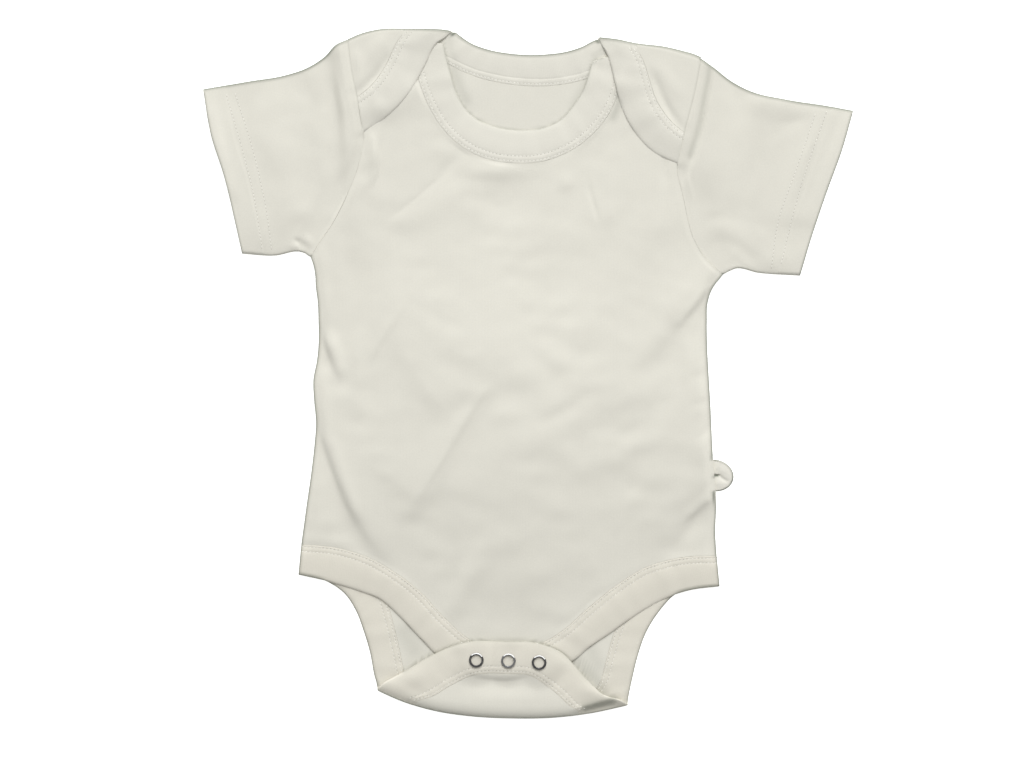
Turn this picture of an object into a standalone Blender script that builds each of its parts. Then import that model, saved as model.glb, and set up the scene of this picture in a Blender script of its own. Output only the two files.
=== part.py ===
"""A baby's short-sleeved bodysuit with an envelope neck, lying flat on its back.

The front faces +Z and the neck points to +Y. The origin is on the ground under the middle of the garment.
Lengths in this script are millimetres, and `to_object` turns them into metres. Every piece of cloth is drawn
as the sheet half way through its thickness: patches between smooth outlines, each lifted to its own layer.
A Solidify modifier then gives the sheet its wall.
"""

import math

import bmesh
import bpy
import numpy as np

MM = 0.001

# Driving dimensions
CLOTH_WALL = 1.0  # one layer of jersey
BAND_WALL = 1.2  # the doubled binding
LAYER_GAP = 0.3  # between layers, and across a seam
FOLD_RADIUS = 1.5  # where the cloth turns over a shoulder or the crotch
RING_DIAMETER = 8.5  # the open cap on the outside of a snap
RING_WALL = 1.3
RING_HEIGHT = 1.1
STUD_DIAMETER = 9.6  # the snap's hidden half
STUD_BEVEL = 0.8
STUD_HEIGHT = 1.3
LOOP_THICKNESS = 1.6  # two layers of tape
LOOP_REACH = 11.0
LOOP_HALF_HEIGHT = 9.1
LOOP_HOLE_RADIUS = 1.5
LOOP_MIDDLE_Y = -59.3
LOOP_SEAM_GAP = 0.5
SLEEVE_SEAM_GAP = 0.45
SLEEVE_RIDGE = 0.9  # the rounded cloth beside the armhole seam
SLEEVE_RIDGE_AT = 0.07  # as a share of the way from the armhole to the cuff
SLEEVE_RIDGE_SPREAD = 0.05
SLEEVE_LOFT = 1.4  # how far the sleeve's front stands off its back

# Mid-thickness heights of the layers
BACK_Z = CLOTH_WALL / 2
BACK_BAND_Z = BAND_WALL / 2
FRONT_Z = BAND_WALL + LAYER_GAP + CLOTH_WALL / 2
FRONT_BAND_Z = BAND_WALL + LAYER_GAP + BAND_WALL / 2
SIDE_SEAM_Z = CLOTH_WALL + LAYER_GAP + CLOTH_WALL / 2
LAP_Z = BACK_Z + 2 * FOLD_RADIUS
LAP_BAND_Z = BACK_BAND_Z + 2 * FOLD_RADIUS

# How finely the sheets are divided
TURN_STEPS = 6
STATION_STEPS = 2
ARMHOLE_STEPS = 12
SIDE_STEPS = 18
LAP_STEPS = 4
FLAP_STEPS = 5
SLEEVE_STEPS = 14
SLEEVE_SHARES = [0, 0.04, 0.08, 0.14, 0.24, 0.36, 0.5, 0.64, 0.78, 0.9, 1]
WELD = 0.01  # places nearer than this are one

# Outlines, (x, y). The garment isn't symmetric: it was laid out by hand.
UNDERARM_LEFT = (-124.7, 69.6)
UNDERARM_RIGHT = (112.6, 58.8)
SIDE_LEFT = [
    (-130.8, -99.3),
    (-128.0, -79.0),
    (-124.9, -57.0),
    (-122.1, -31.0),
    (-123.7, -4.0),
    (-120.3, 20.0),
    (-121.0, 44.0),
    UNDERARM_LEFT,
]
SIDE_RIGHT = [
    (108.9, -106.2),
    (108.4, -74.0),
    (106.3, -40.0),
    (103.9, 0.0),
    (102.7, 28.0),
    (104.0, 45.0),
    UNDERARM_RIGHT,
]
ARMHOLE_LEFT = [
    UNDERARM_LEFT,
    (-114.8, 82.1),
    (-104.6, 104.5),
    (-98.0, 122.5),
    (-95.4, 136.0),
    (-98.6, 157.0),
    (-102.6, 176.5),
    (-104.7, 193.6),
]
ARMHOLE_RIGHT = [
    UNDERARM_RIGHT,
    (102.3, 67.6),
    (96.0, 78.5),
    (90.4, 101.0),
    (86.7, 119.5),
    (87.8, 128.5),
    (91.0, 141.0),
    (96.6, 162.7),
    (100.4, 182.4),
]
SHOULDER_FOLD_LEFT = [
    (-104.9, 193.7),
    (-96.5, 197.2),
    (-86.0, 199.6),
    (-72.0, 200.0),
    (-55.0, 200.0),
    (-45.4, 198.6),
]
SHOULDER_FOLD_RIGHT = [
    (41.7, 194.5),
    (52.0, 193.0),
    (62.5, 190.4),
    (80.0, 188.7),
    (90.0, 185.8),
    (100.6, 182.2),
]
CROTCH_FOLD = [
    (-87.0, -183.9),
    (-69.0, -191.5),
    (-52.0, -196.1),
    (-33.0, -198.8),
    (-9.0, -200.0),
    (13.0, -199.7),
    (34.0, -197.4),
    (57.4, -192.5),
]

# Binding strips. Each row is one station along the strip: where its seam and its free edge are.
# columns: seam x, seam y, free x, free y
FRONT_NECK_BAND = [
    (-68.5, 194.3, -49.4, 191.4),
    (-66.6, 181.5, -47.4, 182.5),
    (-63.4, 169.8, -44.8, 173.0),
    (-58.4, 156.7, -41.2, 161.5),
    (-51.2, 144.2, -36.2, 153.2),
    (-41.0, 133.4, -29.4, 147.2),
    (-27.3, 125.6, -20.0, 143.3),
    (-7.7, 121.9, -6.4, 141.1),
    (12.0, 123.8, 8.6, 142.2),
    (27.6, 130.8, 19.0, 147.0),
    (38.7, 140.0, 26.8, 155.8),
    (47.0, 150.6, 32.0, 164.2),
    (52.4, 162.8, 35.3, 173.4),
    (55.7, 175.0, 37.6, 180.3),
    (57.6, 186.6, 39.6, 182.0),
]
BACK_NECK_BAND = [
    (-71.9, 197.9, -45.4, 196.5),
    (-60.4, 188.0, -39.6, 193.6),
    (-47.0, 180.0, -31.6, 190.1),
    (-33.0, 173.2, -22.0, 186.8),
    (-18.2, 169.2, -12.4, 185.0),
    (-2.5, 167.1, -1.2, 184.0),
    (13.3, 167.0, 11.0, 184.3),
    (26.0, 168.9, 21.8, 185.7),
    (38.4, 172.6, 31.2, 188.5),
    (51.2, 179.8, 37.6, 191.4),
    (62.5, 188.2, 41.8, 192.4),
]
LAP_BAND_LEFT = [
    (-98.4, 160.4, -95.1, 139.8),
    (-92.2, 165.6, -84.0, 147.2),
    (-86.4, 172.4, -75.6, 154.8),
    (-81.8, 180.0, -67.6, 164.8),
    (-78.4, 187.6, -60.2, 178.4),
    (-75.2, 193.4, -52.8, 191.6),
    (-71.9, 197.9, -45.4, 196.5),
]
LAP_BAND_RIGHT = [
    (62.5, 188.2, 41.8, 192.4),
    (66.2, 182.6, 45.4, 186.2),
    (69.2, 174.6, 48.4, 177.4),
    (71.8, 165.6, 50.8, 167.6),
    (74.8, 157.8, 54.2, 154.7),
    (79.2, 150.6, 61.4, 140.8),
    (84.8, 144.2, 72.8, 128.4),
    (90.4, 139.7, 86.3, 121.6),
]
FRONT_LEG_BAND = [
    (-130.8, -99.5, -132.6, -116.4),
    (-111.6, -101.5, -113.6, -120.9),
    (-92.3, -107.4, -97.4, -126.0),
    (-75.6, -117.0, -85.4, -131.8),
    (-62.2, -127.6, -74.6, -141.4),
    (-48.4, -142.4, -62.4, -154.2),
    (-33.2, -155.3, -48.4, -167.4),
    (-22.0, -158.4, -30.0, -175.4),
    (-10.5, -159.0, -10.5, -177.2),
    (0.6, -158.6, 9.0, -175.4),
    (9.5, -156.2, 25.6, -167.8),
    (19.6, -150.1, 34.4, -160.4),
    (34.8, -136.7, 47.6, -151.3),
    (51.8, -123.1, 61.6, -141.4),
    (69.0, -112.7, 77.4, -131.2),
    (90.6, -107.0, 94.4, -125.4),
    (108.9, -106.2, 110.6, -123.2),
]
BACK_LEG_BAND_LEFT = [
    (-130.8, -99.5, -132.4, -116.0),
    (-112.0, -102.0, -119.0, -119.4),
    (-95.0, -110.4, -106.6, -127.2),
    (-84.8, -125.0, -99.8, -137.0),
    (-79.0, -143.0, -95.6, -147.4),
    (-74.4, -162.0, -91.0, -162.8),
    (-70.6, -178.6, -88.6, -175.8),
    (-65.5, -190.6, -86.8, -181.9),
]
FLAP_BAND = [
    (-65.5, -190.6, -86.8, -181.9),
    (-55.6, -187.7, -72.2, -173.4),
    (-43.5, -180.6, -55.4, -163.6),
    (-30.4, -175.0, -36.4, -156.2),
    (-12.8, -174.4, -14.2, -155.8),
    (2.3, -175.9, 5.2, -156.6),
    (11.0, -181.6, 18.4, -161.6),
    (19.4, -188.6, 34.0, -177.6),
    (24.3, -193.2, 43.6, -186.4),
    (29.5, -196.0, 57.2, -190.4),
]
BACK_LEG_BAND_RIGHT = [
    (29.5, -196.0, 57.2, -190.4),
    (40.8, -181.8, 59.3, -180.2),
    (45.6, -166.4, 62.8, -165.4),
    (50.4, -150.0, 67.8, -151.0),
    (58.6, -133.6, 75.2, -138.8),
    (71.0, -118.6, 85.4, -128.0),
    (88.6, -109.6, 97.4, -124.4),
    (108.9, -106.2, 110.4, -122.8),
]
FRONT_SHOULDER_LEFT = [(-103.8, 187.6), (-96.0, 190.6), (-84.0, 193.6), (-68.5, 194.3)]
FRONT_SHOULDER_RIGHT = [(57.6, 186.6), (72.0, 184.9), (86.0, 181.4), (99.2, 176.4)]

# Sleeves: the fold along the top, the underarm seam and the cuff, each from the armhole outwards
SLEEVE_TOP_LEFT = [
    (-104.9, 193.7),
    (-110.5, 190.2),
    (-117.0, 183.6),
    (-127.0, 177.0),
    (-141.0, 172.2),
    (-161.2, 168.8),
    (-188.8, 164.1),
]
SLEEVE_UNDER_LEFT = [(-124.7, 69.6), (-130.0, 70.8), (-147.4, 68.6), (-166.1, 69.7)]
CUFF_LEFT = [(-188.8, 164.1), (-184.2, 138.6), (-176.6, 114.6), (-170.4, 88.6), (-166.1, 69.7)]
SLEEVE_TOP_RIGHT = [
    (100.6, 182.2),
    (107.0, 176.9),
    (117.5, 168.9),
    (131.1, 162.2),
    (150.0, 158.0),
    (173.4, 154.4),
    (188.8, 151.6),
]
SLEEVE_UNDER_RIGHT = [(112.6, 58.8), (120.0, 60.9), (134.0, 58.6), (158.0, 57.0)]
CUFF_RIGHT = [(188.8, 151.6), (182.6, 130.5), (172.8, 103.4), (164.2, 77.6), (158.0, 57.0)]

# Largest folds of the front. Each row is one soft fold along a straight line; a height below 0 is a trough.
# columns: start x, start y, end x, end y, half width, height
FRONT_FOLDS = [
    (-124.0, -30.0, -86.0, -112.0, 9.0, -2.4),
    (-121.0, 24.0, -108.0, -2.0, 5.0, -1.2),
    (104.0, 44.0, 70.0, 8.0, 9.0, -1.9),
    (108.0, -78.0, 62.0, -112.0, 11.0, -2.1),
    (0.0, -6.0, -34.0, -16.0, 8.0, 1.0),
    (-34.0, -18.0, -66.0, -78.0, 8.0, -1.3),
    (8.0, -26.0, 44.0, -8.0, 6.0, -1.2),
    (12.0, -56.0, 72.0, -46.0, 8.0, 1.1),
    (-84.0, 12.0, -52.0, -24.0, 9.0, -1.3),
    (-40.0, 124.0, -88.0, 86.0, 7.0, 1.2),
    (-34.0, 106.0, -62.0, 92.0, 8.0, -1.1),
    (-28.0, -104.0, -48.0, -138.0, 6.0, 1.2),
]
BELLY_LOFT = 2.4  # how far the front stands off the back in the middle
EDGE_REACH = 22.0  # the loft and the folds die away over this distance from an edge
SETTLE_REACH = 10.0  # the front comes down onto the back over this distance from a side seam

# Snaps on the flap's band, (x, y)
SNAPS = [(-30.0, -166.4), (-11.4, -166.8), (6.4, -167.8)]
SNAP_ROOM = STUD_HEIGHT + 0.4  # the flap's band is lifted by this much over the studs
SNAP_ROOM_RADIUS = 12.5
SNAP_ROOM_SLOPE = 6.0

# Colours
JERSEY = (0.76, 0.745, 0.672, 1.0)
BINDING = (0.78, 0.765, 0.695, 1.0)
METAL = (0.56, 0.55, 0.53, 1.0)


def along(points, shares):
    """Places on the smooth line through the points, at shares of its length from 0 to 1."""
    points = np.asarray(points, float)
    knots = np.append(0.0, np.cumsum(np.linalg.norm(np.diff(points, axis=0), axis=1)))
    slopes = np.gradient(points, knots, axis=0)

    def at(distance):
        span = np.clip(np.searchsorted(knots, distance, side="right") - 1, 0, len(knots) - 2)
        width = (knots[span + 1] - knots[span])[:, None]
        t = (distance - knots[span])[:, None] / width
        start = (1 + 2 * t) * (1 - t) ** 2 * points[span] + t * (1 - t) ** 2 * width * slopes[span]
        end = t**2 * (3 - 2 * t) * points[span + 1] + t**2 * (t - 1) * width * slopes[span + 1]
        return start + end

    fine = np.linspace(0, knots[-1], 24 * len(points))
    line = at(fine)
    length = np.append(0.0, np.cumsum(np.linalg.norm(np.diff(line, axis=0), axis=1)))
    return at(np.interp(np.asarray(shares) * length[-1], length, fine))


def even(count):
    return np.linspace(0, 1, count + 1)


def shifted(line, distance):
    """The line moved sideways, to the left of its direction, by the distance."""
    direction = np.gradient(line, axis=0)
    direction /= np.linalg.norm(direction, axis=1)[:, None]
    return line + distance * np.stack([-direction[:, 1], direction[:, 0]], axis=1)


def part_of(line, low, high, count):
    """Even places on the stretch of a smooth line whose height y runs from low to high."""
    fine = along(line, even(400))
    shares = np.interp([low, high], fine[:, 1], even(400))
    return along(line, shares[0] + (shares[1] - shares[0]) * even(count))


def patch(bottom, top, left, right):
    """Rows of places that fill the area between four outlines, which meet at its corners."""
    u = np.linspace(0, 1, len(bottom))[None, :, None]
    v = np.linspace(0, 1, len(left))[:, None, None]
    across = (1 - u) * left[:, None] + u * right[:, None]
    up = (1 - v) * bottom[None] + v * top[None]
    corners = (
        (1 - u) * (1 - v) * bottom[0]
        + u * (1 - v) * bottom[-1]
        + (1 - u) * v * top[0]
        + u * v * top[-1]
    )
    return across + up - corners


def lifted(plan, height):
    """Plan places with their height, which is one number or one for each place."""
    return np.concatenate([plan, np.broadcast_to(height, plan.shape[:-1])[..., None]], axis=-1)


def turned_over(line, low, way):
    """Rows of a half-round fold over a line: it starts at the low layer and ends at the one above."""
    angle = np.linspace(0, math.pi, TURN_STEPS + 1)[:, None]
    x = np.broadcast_to(line[:, 0], (TURN_STEPS + 1, len(line)))
    y = line[:, 1] + way * FOLD_RADIUS * np.sin(angle)
    z = np.broadcast_to(low + FOLD_RADIUS * (1 - np.cos(angle)), x.shape)
    return np.stack([x, y, z], axis=-1)


def fold_line(silhouette, way, wall):
    """The axis of a fold: the silhouette moved in by the fold's outer radius."""
    return [(x, y - way * (FOLD_RADIUS + wall / 2)) for x, y in silhouette]


def smooth_step(value):
    value = np.clip(value, 0, 1)
    return value * value * (3 - 2 * value)


def distance_to(plan, line):
    """Distance from each place to a line of points."""
    run = np.diff(line, axis=0)
    distinct = np.linalg.norm(run, axis=1) > WELD
    start, run = line[:-1][distinct], run[distinct]
    from_start = plan[..., None, :] - start
    share = np.clip((from_start * run).sum(-1) / (run * run).sum(-1), 0, 1)
    return np.linalg.norm(from_start - share[..., None] * run, axis=-1).min(-1)


def band_rows(stations, steps=STATION_STEPS, across=2):
    """Rows across a binding strip: smooth between stations, each row from the seam to the free edge."""
    table = np.asarray(stations, float)
    step = np.linalg.norm(np.diff(table, axis=0), axis=1)
    knots = np.append(0.0, np.cumsum(step))
    slopes = np.gradient(table, knots, axis=0)
    rows = []
    for i in range(len(table) - 1):
        for t in even(steps)[: steps if i < len(table) - 2 else steps + 1]:
            start = (1 + 2 * t) * (1 - t) ** 2 * table[i] + t * (1 - t) ** 2 * step[i] * slopes[i]
            end = t**2 * (3 - 2 * t) * table[i + 1] + t**2 * (t - 1) * step[i] * slopes[i + 1]
            rows.append(start + end)
    rows = np.array(rows)
    seam, free = rows[:, :2], rows[:, 2:]
    away = (free - seam) / np.linalg.norm(free - seam, axis=1)[:, None]
    seam = seam + away * LAYER_GAP / 2
    share = even(across)[None, :, None]
    return (1 - share) * seam[:, None] + share * free[:, None]


def seam_of(rows):
    """The cloth's edge along a strip's rows, one seam gap away from the strip."""
    seam, free = rows[:, 0], rows[:, -1]
    away = (free - seam) / np.linalg.norm(free - seam, axis=1)[:, None]
    return seam - away * LAYER_GAP


def front_height(plan, outline, sides):
    """Mid-thickness height of the front: a low loft with its largest folds, flat along every edge."""
    loft = BELLY_LOFT * smooth_step(distance_to(plan, outline) / (2 * EDGE_REACH))
    for start_x, start_y, end_x, end_y, half_width, height in FRONT_FOLDS:
        start, end = np.array([start_x, start_y]), np.array([end_x, end_y])
        run = end - start
        share = ((plan - start) @ run) / (run @ run)
        aside = np.abs((plan[..., 0] - start_x) * run[1] - (plan[..., 1] - start_y) * run[0])
        aside = aside / np.linalg.norm(run)
        length_fade = smooth_step((share + 0.2) / 0.4) * smooth_step((1.2 - share) / 0.4)
        loft = loft + height * np.exp(-((aside / half_width) ** 2)) * length_fade
    x, y = plan[..., 0], plan[..., 1]
    lap_left = np.interp(x, [row[2] for row in LAP_BAND_LEFT], [row[3] for row in LAP_BAND_LEFT])
    lap_right = np.interp(x, [row[2] for row in LAP_BAND_RIGHT], [row[3] for row in LAP_BAND_RIGHT])
    flap = np.interp(x, [row[2] for row in FLAP_BAND], [row[3] for row in FLAP_BAND])
    below_laps = np.where(x < 0, lap_left, lap_right) - y
    free_room = smooth_step(below_laps / EDGE_REACH) * smooth_step((y - flap) / EDGE_REACH)
    edge_room = smooth_step((distance_to(plan, outline) - 2.0) / EDGE_REACH)
    from_side = np.minimum(distance_to(plan, sides[0]), distance_to(plan, sides[1]))
    settled = (SIDE_SEAM_Z - FRONT_Z) * (1 - smooth_step(from_side / SETTLE_REACH))
    return FRONT_Z + settled + np.maximum(loft, 0) * free_room * edge_room


def flap_lift(plan):
    """How far the flap's band is lifted where it passes over the studs."""
    nearest = distance_to(plan, np.array(SNAPS))
    return SNAP_ROOM * smooth_step((SNAP_ROOM_RADIUS - nearest) / SNAP_ROOM_SLOPE)


def material(name, colour, roughness, metallic=0.0):
    made = bpy.data.materials.new(name)
    made.use_nodes = True
    shader = made.node_tree.nodes["Principled BSDF"]
    shader.inputs["Base Color"].default_value = colour
    shader.inputs["Roughness"].default_value = roughness
    shader.inputs["Metallic"].default_value = metallic
    made.diffuse_color = colour
    return made


def to_object(name, mesh_data, surface):
    """Finish a bmesh as an object in metres, shaded smooth."""
    bmesh.ops.scale(mesh_data, vec=(MM, MM, MM), verts=mesh_data.verts)
    mesh = bpy.data.meshes.new(name)
    mesh_data.to_mesh(mesh)
    mesh_data.free()
    mesh.materials.append(surface)
    mesh.shade_smooth()
    mesh.set_sharp_from_angle(angle=math.radians(40))
    made = bpy.data.objects.new(name, mesh)
    bpy.context.scene.collection.objects.link(made)
    return made


def sheet(name, grids, wall, surface, flats=(), closed=False):
    """One piece of cloth from grids of places and flat outlines that share their edges."""
    work = bmesh.new()
    for outline in flats:
        distinct = np.linalg.norm(outline - np.roll(outline, 1, axis=0), axis=1) > WELD
        work.faces.new([work.verts.new(place) for place in outline[distinct]])
    for grid in grids:
        verts = [[work.verts.new(place) for place in row] for row in grid]
        columns = len(verts[0])
        for i in range(len(verts) - 1):
            for j in range(columns if closed else columns - 1):
                k = (j + 1) % columns
                work.faces.new((verts[i][j], verts[i][k], verts[i + 1][k], verts[i + 1][j]))
    bmesh.ops.remove_doubles(work, verts=work.verts, dist=WELD)
    bmesh.ops.recalc_face_normals(work, faces=work.faces)
    made = to_object(name, work, surface)
    thickness = made.modifiers.new("wall", "SOLIDIFY")
    thickness.thickness = wall * MM
    thickness.offset = 0
    return made


def turned(name, profile, segments, centre, surface):
    """A ring: the closed profile, (radius, height), turned about a vertical axis."""
    work = bmesh.new()
    rings = []
    for i in range(segments):
        angle = 2 * math.pi * i / segments
        rings.append([work.verts.new((r * math.cos(angle), r * math.sin(angle), z)) for r, z in profile])
    for i in range(segments):
        near, far = rings[i], rings[(i + 1) % segments]
        for j in range(len(profile)):
            k = (j + 1) % len(profile)
            work.faces.new((near[j], far[j], far[k], near[k]))
    bmesh.ops.recalc_face_normals(work, faces=work.faces)
    made = to_object(name, work, surface)
    made.location = [value * MM for value in centre]
    return made


def on_fold(silhouette, x, way, wall=CLOTH_WALL):
    """Places on a fold's axis at the given x."""
    axis = along(fold_line(silhouette, way, wall), even(200))
    return np.stack([x, np.interp(x, axis[:, 0], axis[:, 1])], axis=1)


def back_panel(surface):
    """The back, its two shoulder laps and its crotch flap: one piece of cloth, folded at three lines."""
    leg_left = seam_of(band_rows(BACK_LEG_BAND_LEFT))
    leg_right = seam_of(band_rows(BACK_LEG_BAND_RIGHT))
    neck = seam_of(band_rows(BACK_NECK_BAND))
    flap_seam = seam_of(band_rows(FLAP_BAND))
    lap_left = seam_of(band_rows(LAP_BAND_LEFT))
    lap_right = seam_of(band_rows(LAP_BAND_RIGHT))

    crotch_x = np.linspace(leg_left[-1, 0], leg_right[0, 0], len(flap_seam))
    crotch = on_fold(CROTCH_FOLD, crotch_x, -1)
    leg_left[-1], leg_right[0] = crotch[0], crotch[-1]
    flap_seam[0], flap_seam[-1] = crotch[0], crotch[-1]

    shoulder_left = on_fold(SHOULDER_FOLD_LEFT, np.linspace(-104.3, neck[0, 0], 7), 1)
    shoulder_right = on_fold(SHOULDER_FOLD_RIGHT, np.linspace(neck[-1, 0], 100.1, 7), 1)
    neck[0], neck[-1] = shoulder_left[-1], shoulder_right[0]
    lap_left[-1], lap_right[0] = shoulder_left[-1], shoulder_right[0]
    armhole_left = part_of(ARMHOLE_LEFT, UNDERARM_LEFT[1], shoulder_left[0, 1], ARMHOLE_STEPS)
    armhole_right = part_of(ARMHOLE_RIGHT, UNDERARM_RIGHT[1], shoulder_right[-1, 1], ARMHOLE_STEPS)
    side_left = along(SIDE_LEFT, even(SIDE_STEPS))
    side_right = along(SIDE_RIGHT, even(SIDE_STEPS))

    outline = [leg_left, crotch, leg_right, side_right, armhole_right, shoulder_right[::-1]]
    outline += [neck[::-1], shoulder_left[::-1], armhole_left[::-1], side_left[::-1]]
    lap_arm_left = part_of(ARMHOLE_LEFT, lap_left[0, 1], shoulder_left[0, 1], LAP_STEPS)
    lap_arm_right = part_of(ARMHOLE_RIGHT, lap_right[-1, 1], shoulder_right[-1, 1], LAP_STEPS)
    lap_outline_left = [shoulder_left, lap_left[::-1], lap_arm_left]
    lap_outline_right = [shoulder_right, lap_arm_right[::-1], lap_right[::-1]]
    flats = [
        lifted(np.concatenate(outline), BACK_Z),
        lifted(np.concatenate(lap_outline_left), LAP_Z),
        lifted(np.concatenate(lap_outline_right), LAP_Z),
    ]

    share = even(FLAP_STEPS)[:, None, None]
    flap = (1 - share) * crotch + share * flap_seam
    grids = [
        turned_over(crotch, BACK_Z, -1),
        turned_over(shoulder_left, BACK_Z, 1),
        turned_over(shoulder_right, BACK_Z, 1),
        lifted(flap, LAP_Z + flap_lift(flap)),
    ]
    return sheet("back_panel", grids, CLOTH_WALL, surface, flats=flats)


def front_panel(surface):
    """The front, from its hidden shoulder edges to the crotch."""
    neck = seam_of(band_rows(FRONT_NECK_BAND))
    legs = seam_of(band_rows(FRONT_LEG_BAND))
    spare = (len(legs) - len(neck)) // 2
    shoulder_left = along(FRONT_SHOULDER_LEFT, even(spare))
    shoulder_right = along(FRONT_SHOULDER_RIGHT, even(spare))
    shoulder_left[-1], shoulder_right[0] = neck[0], neck[-1]
    top = np.concatenate([shoulder_left[:-1], neck, shoulder_right[1:]])
    arm_left = part_of(ARMHOLE_LEFT, UNDERARM_LEFT[1], top[0, 1], ARMHOLE_STEPS)
    arm_right = part_of(ARMHOLE_RIGHT, UNDERARM_RIGHT[1], top[-1, 1], ARMHOLE_STEPS)
    side_left = along(SIDE_LEFT, even(SIDE_STEPS))
    side_right = along(SIDE_RIGHT, even(SIDE_STEPS))
    top[0], top[-1] = arm_left[-1], arm_right[-1]
    side_left[0], side_right[0] = legs[0], legs[-1]
    across = even(len(legs) - 1)[:, None]
    waist = (1 - across) * side_left[-1] + across * side_right[-1]

    lower = patch(legs, waist, side_left, side_right)
    upper = patch(waist, top, arm_left, arm_right)
    outline = np.concatenate([legs, side_right, arm_right, top[::-1], arm_left[::-1], side_left[::-1]])
    sides = [side_left, side_right]
    grids = [lifted(grid, front_height(grid, outline, sides)) for grid in (lower, upper)]
    return sheet("front_panel", grids, CLOTH_WALL, surface)


def neck_band_back(surface):
    """The binding round the back of the neck, which runs on over both shoulders to the ends of the laps."""
    neck = band_rows(BACK_NECK_BAND)
    lap_left, lap_right = band_rows(LAP_BAND_LEFT), band_rows(LAP_BAND_RIGHT)
    grids = [
        lifted(lap_left, LAP_BAND_Z),
        turned_over(neck[0], BACK_BAND_Z, 1),
        lifted(neck, BACK_BAND_Z),
        turned_over(neck[-1], BACK_BAND_Z, 1),
        lifted(lap_right, LAP_BAND_Z),
    ]
    return sheet("neck_band_back", grids, BAND_WALL, surface)


def neck_band_front(surface):
    """The binding of the front neckline, whose ends lie under the laps."""
    rows = band_rows(FRONT_NECK_BAND)
    return sheet("neck_band_front", [lifted(rows, FRONT_BAND_Z)], BAND_WALL, surface)


def leg_band_front(surface):
    """The binding of both front leg edges and of the front's crotch end, under the flap."""
    rows = band_rows(FRONT_LEG_BAND)
    return sheet("leg_band_front", [lifted(rows, FRONT_BAND_Z)], BAND_WALL, surface)


def leg_band_back(surface):
    """The binding of both back leg edges, which turns up with the flap and runs round its end."""
    left, right = band_rows(BACK_LEG_BAND_LEFT, across=6), band_rows(BACK_LEG_BAND_RIGHT, across=6)
    flap = band_rows(FLAP_BAND, across=6)
    grids = [
        lifted(left, BACK_BAND_Z),
        turned_over(left[-1], BACK_BAND_Z, -1),
        lifted(flap, LAP_BAND_Z + flap_lift(flap)),
        turned_over(right[0], BACK_BAND_Z, -1),
        lifted(right, BACK_BAND_Z),
    ]
    return sheet("leg_band_back", grids, BAND_WALL, surface)


def sleeve(name, top, under, armhole, cuff, surface):
    """A flattened tube: two layers joined by a fold along the top and a seam along the underarm."""
    side = math.copysign(1, cuff[0][0])
    arm = along(armhole[::-1], even(SLEEVE_STEPS))
    arm = shifted(arm, side * SLEEVE_SEAM_GAP)
    top_rail, under_rail = along(top, SLEEVE_SHARES), along(under, SLEEVE_SHARES)
    cuff_rail = along(cuff, even(SLEEVE_STEPS))
    top_rail[0], under_rail[0] = arm[0], arm[-1]
    plan = patch(top_rail, under_rail, arm, cuff_rail).transpose(1, 0, 2)

    down = even(SLEEVE_STEPS)
    out = np.array(SLEEVE_SHARES)[:, None]
    at_arm = LAP_Z + (FRONT_Z - LAP_Z) * smooth_step((down - 0.40) / 0.18)
    at_arm = at_arm + (SIDE_SEAM_Z - FRONT_Z) * smooth_step((down - 0.75) / 0.25)
    base = SIDE_SEAM_Z + (at_arm - SIDE_SEAM_Z) * (1 - smooth_step(out / 0.5))
    off_folds = np.sin(math.pi * down) ** 0.7
    ridge = SLEEVE_RIDGE * np.exp(-(((out - SLEEVE_RIDGE_AT) / SLEEVE_RIDGE_SPREAD) ** 2))
    loft = SLEEVE_LOFT * smooth_step((out - 0.12) / 0.4) * (1 - 0.6 * smooth_step((out - 0.5) / 0.5))
    front_z = base + (ridge + loft) * off_folds

    rings = []
    for places, heights in zip(plan, front_z):
        ends = []
        for near, far, z in ((0, 1, heights[0]), (-1, -2, heights[-1])):
            radius = (z - BACK_Z) / 2
            outward = (places[near] - places[far]) / np.linalg.norm(places[near] - places[far])
            centre = places[near] - outward * (radius + CLOTH_WALL / 2)
            places[near] = centre
            angle = np.linspace(0, math.pi, TURN_STEPS + 1)[1:-1, None]
            arc = np.concatenate(
                [centre + outward * radius * np.sin(angle), BACK_Z + radius * (1 + np.cos(angle))], axis=1
            )
            ends.append(arc)
        front = lifted(places, heights)
        back = lifted(places[::-1], BACK_Z)
        rings.append(np.concatenate([front, ends[1], back, ends[0][::-1]]))
    return sheet(name, [np.array(rings)], CLOTH_WALL, surface, closed=True)


def snap_rings_and_studs(metal):
    """Open ring caps on the flap's band, each over the stud that it's closed on."""
    outer, inner = RING_DIAMETER / 2, RING_DIAMETER / 2 - RING_WALL
    ring_z = LAP_BAND_Z + SNAP_ROOM + BAND_WALL / 2 + LAYER_GAP
    ring = [
        (outer, 0.0),
        (outer, 0.5 * RING_HEIGHT),
        (outer - 0.25 * RING_WALL, RING_HEIGHT),
        (inner + 0.25 * RING_WALL, RING_HEIGHT),
        (inner, 0.5 * RING_HEIGHT),
        (inner, 0.0),
    ]
    for number, (x, y) in enumerate(SNAPS, 1):
        turned(f"snap_ring_{number}", ring, 20, (x, y, ring_z), metal)
        stud = bmesh.new()
        bmesh.ops.create_cone(
            stud,
            cap_ends=True,
            segments=16,
            radius1=STUD_DIAMETER / 2,
            radius2=STUD_DIAMETER / 2 - STUD_BEVEL,
            depth=STUD_HEIGHT,
        )
        made = to_object(f"snap_stud_{number}", stud, metal)
        stud_z = FRONT_BAND_Z + BAND_WALL / 2 + LAYER_GAP + STUD_HEIGHT / 2
        made.location = (x * MM, y * MM, stud_z * MM)


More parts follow.
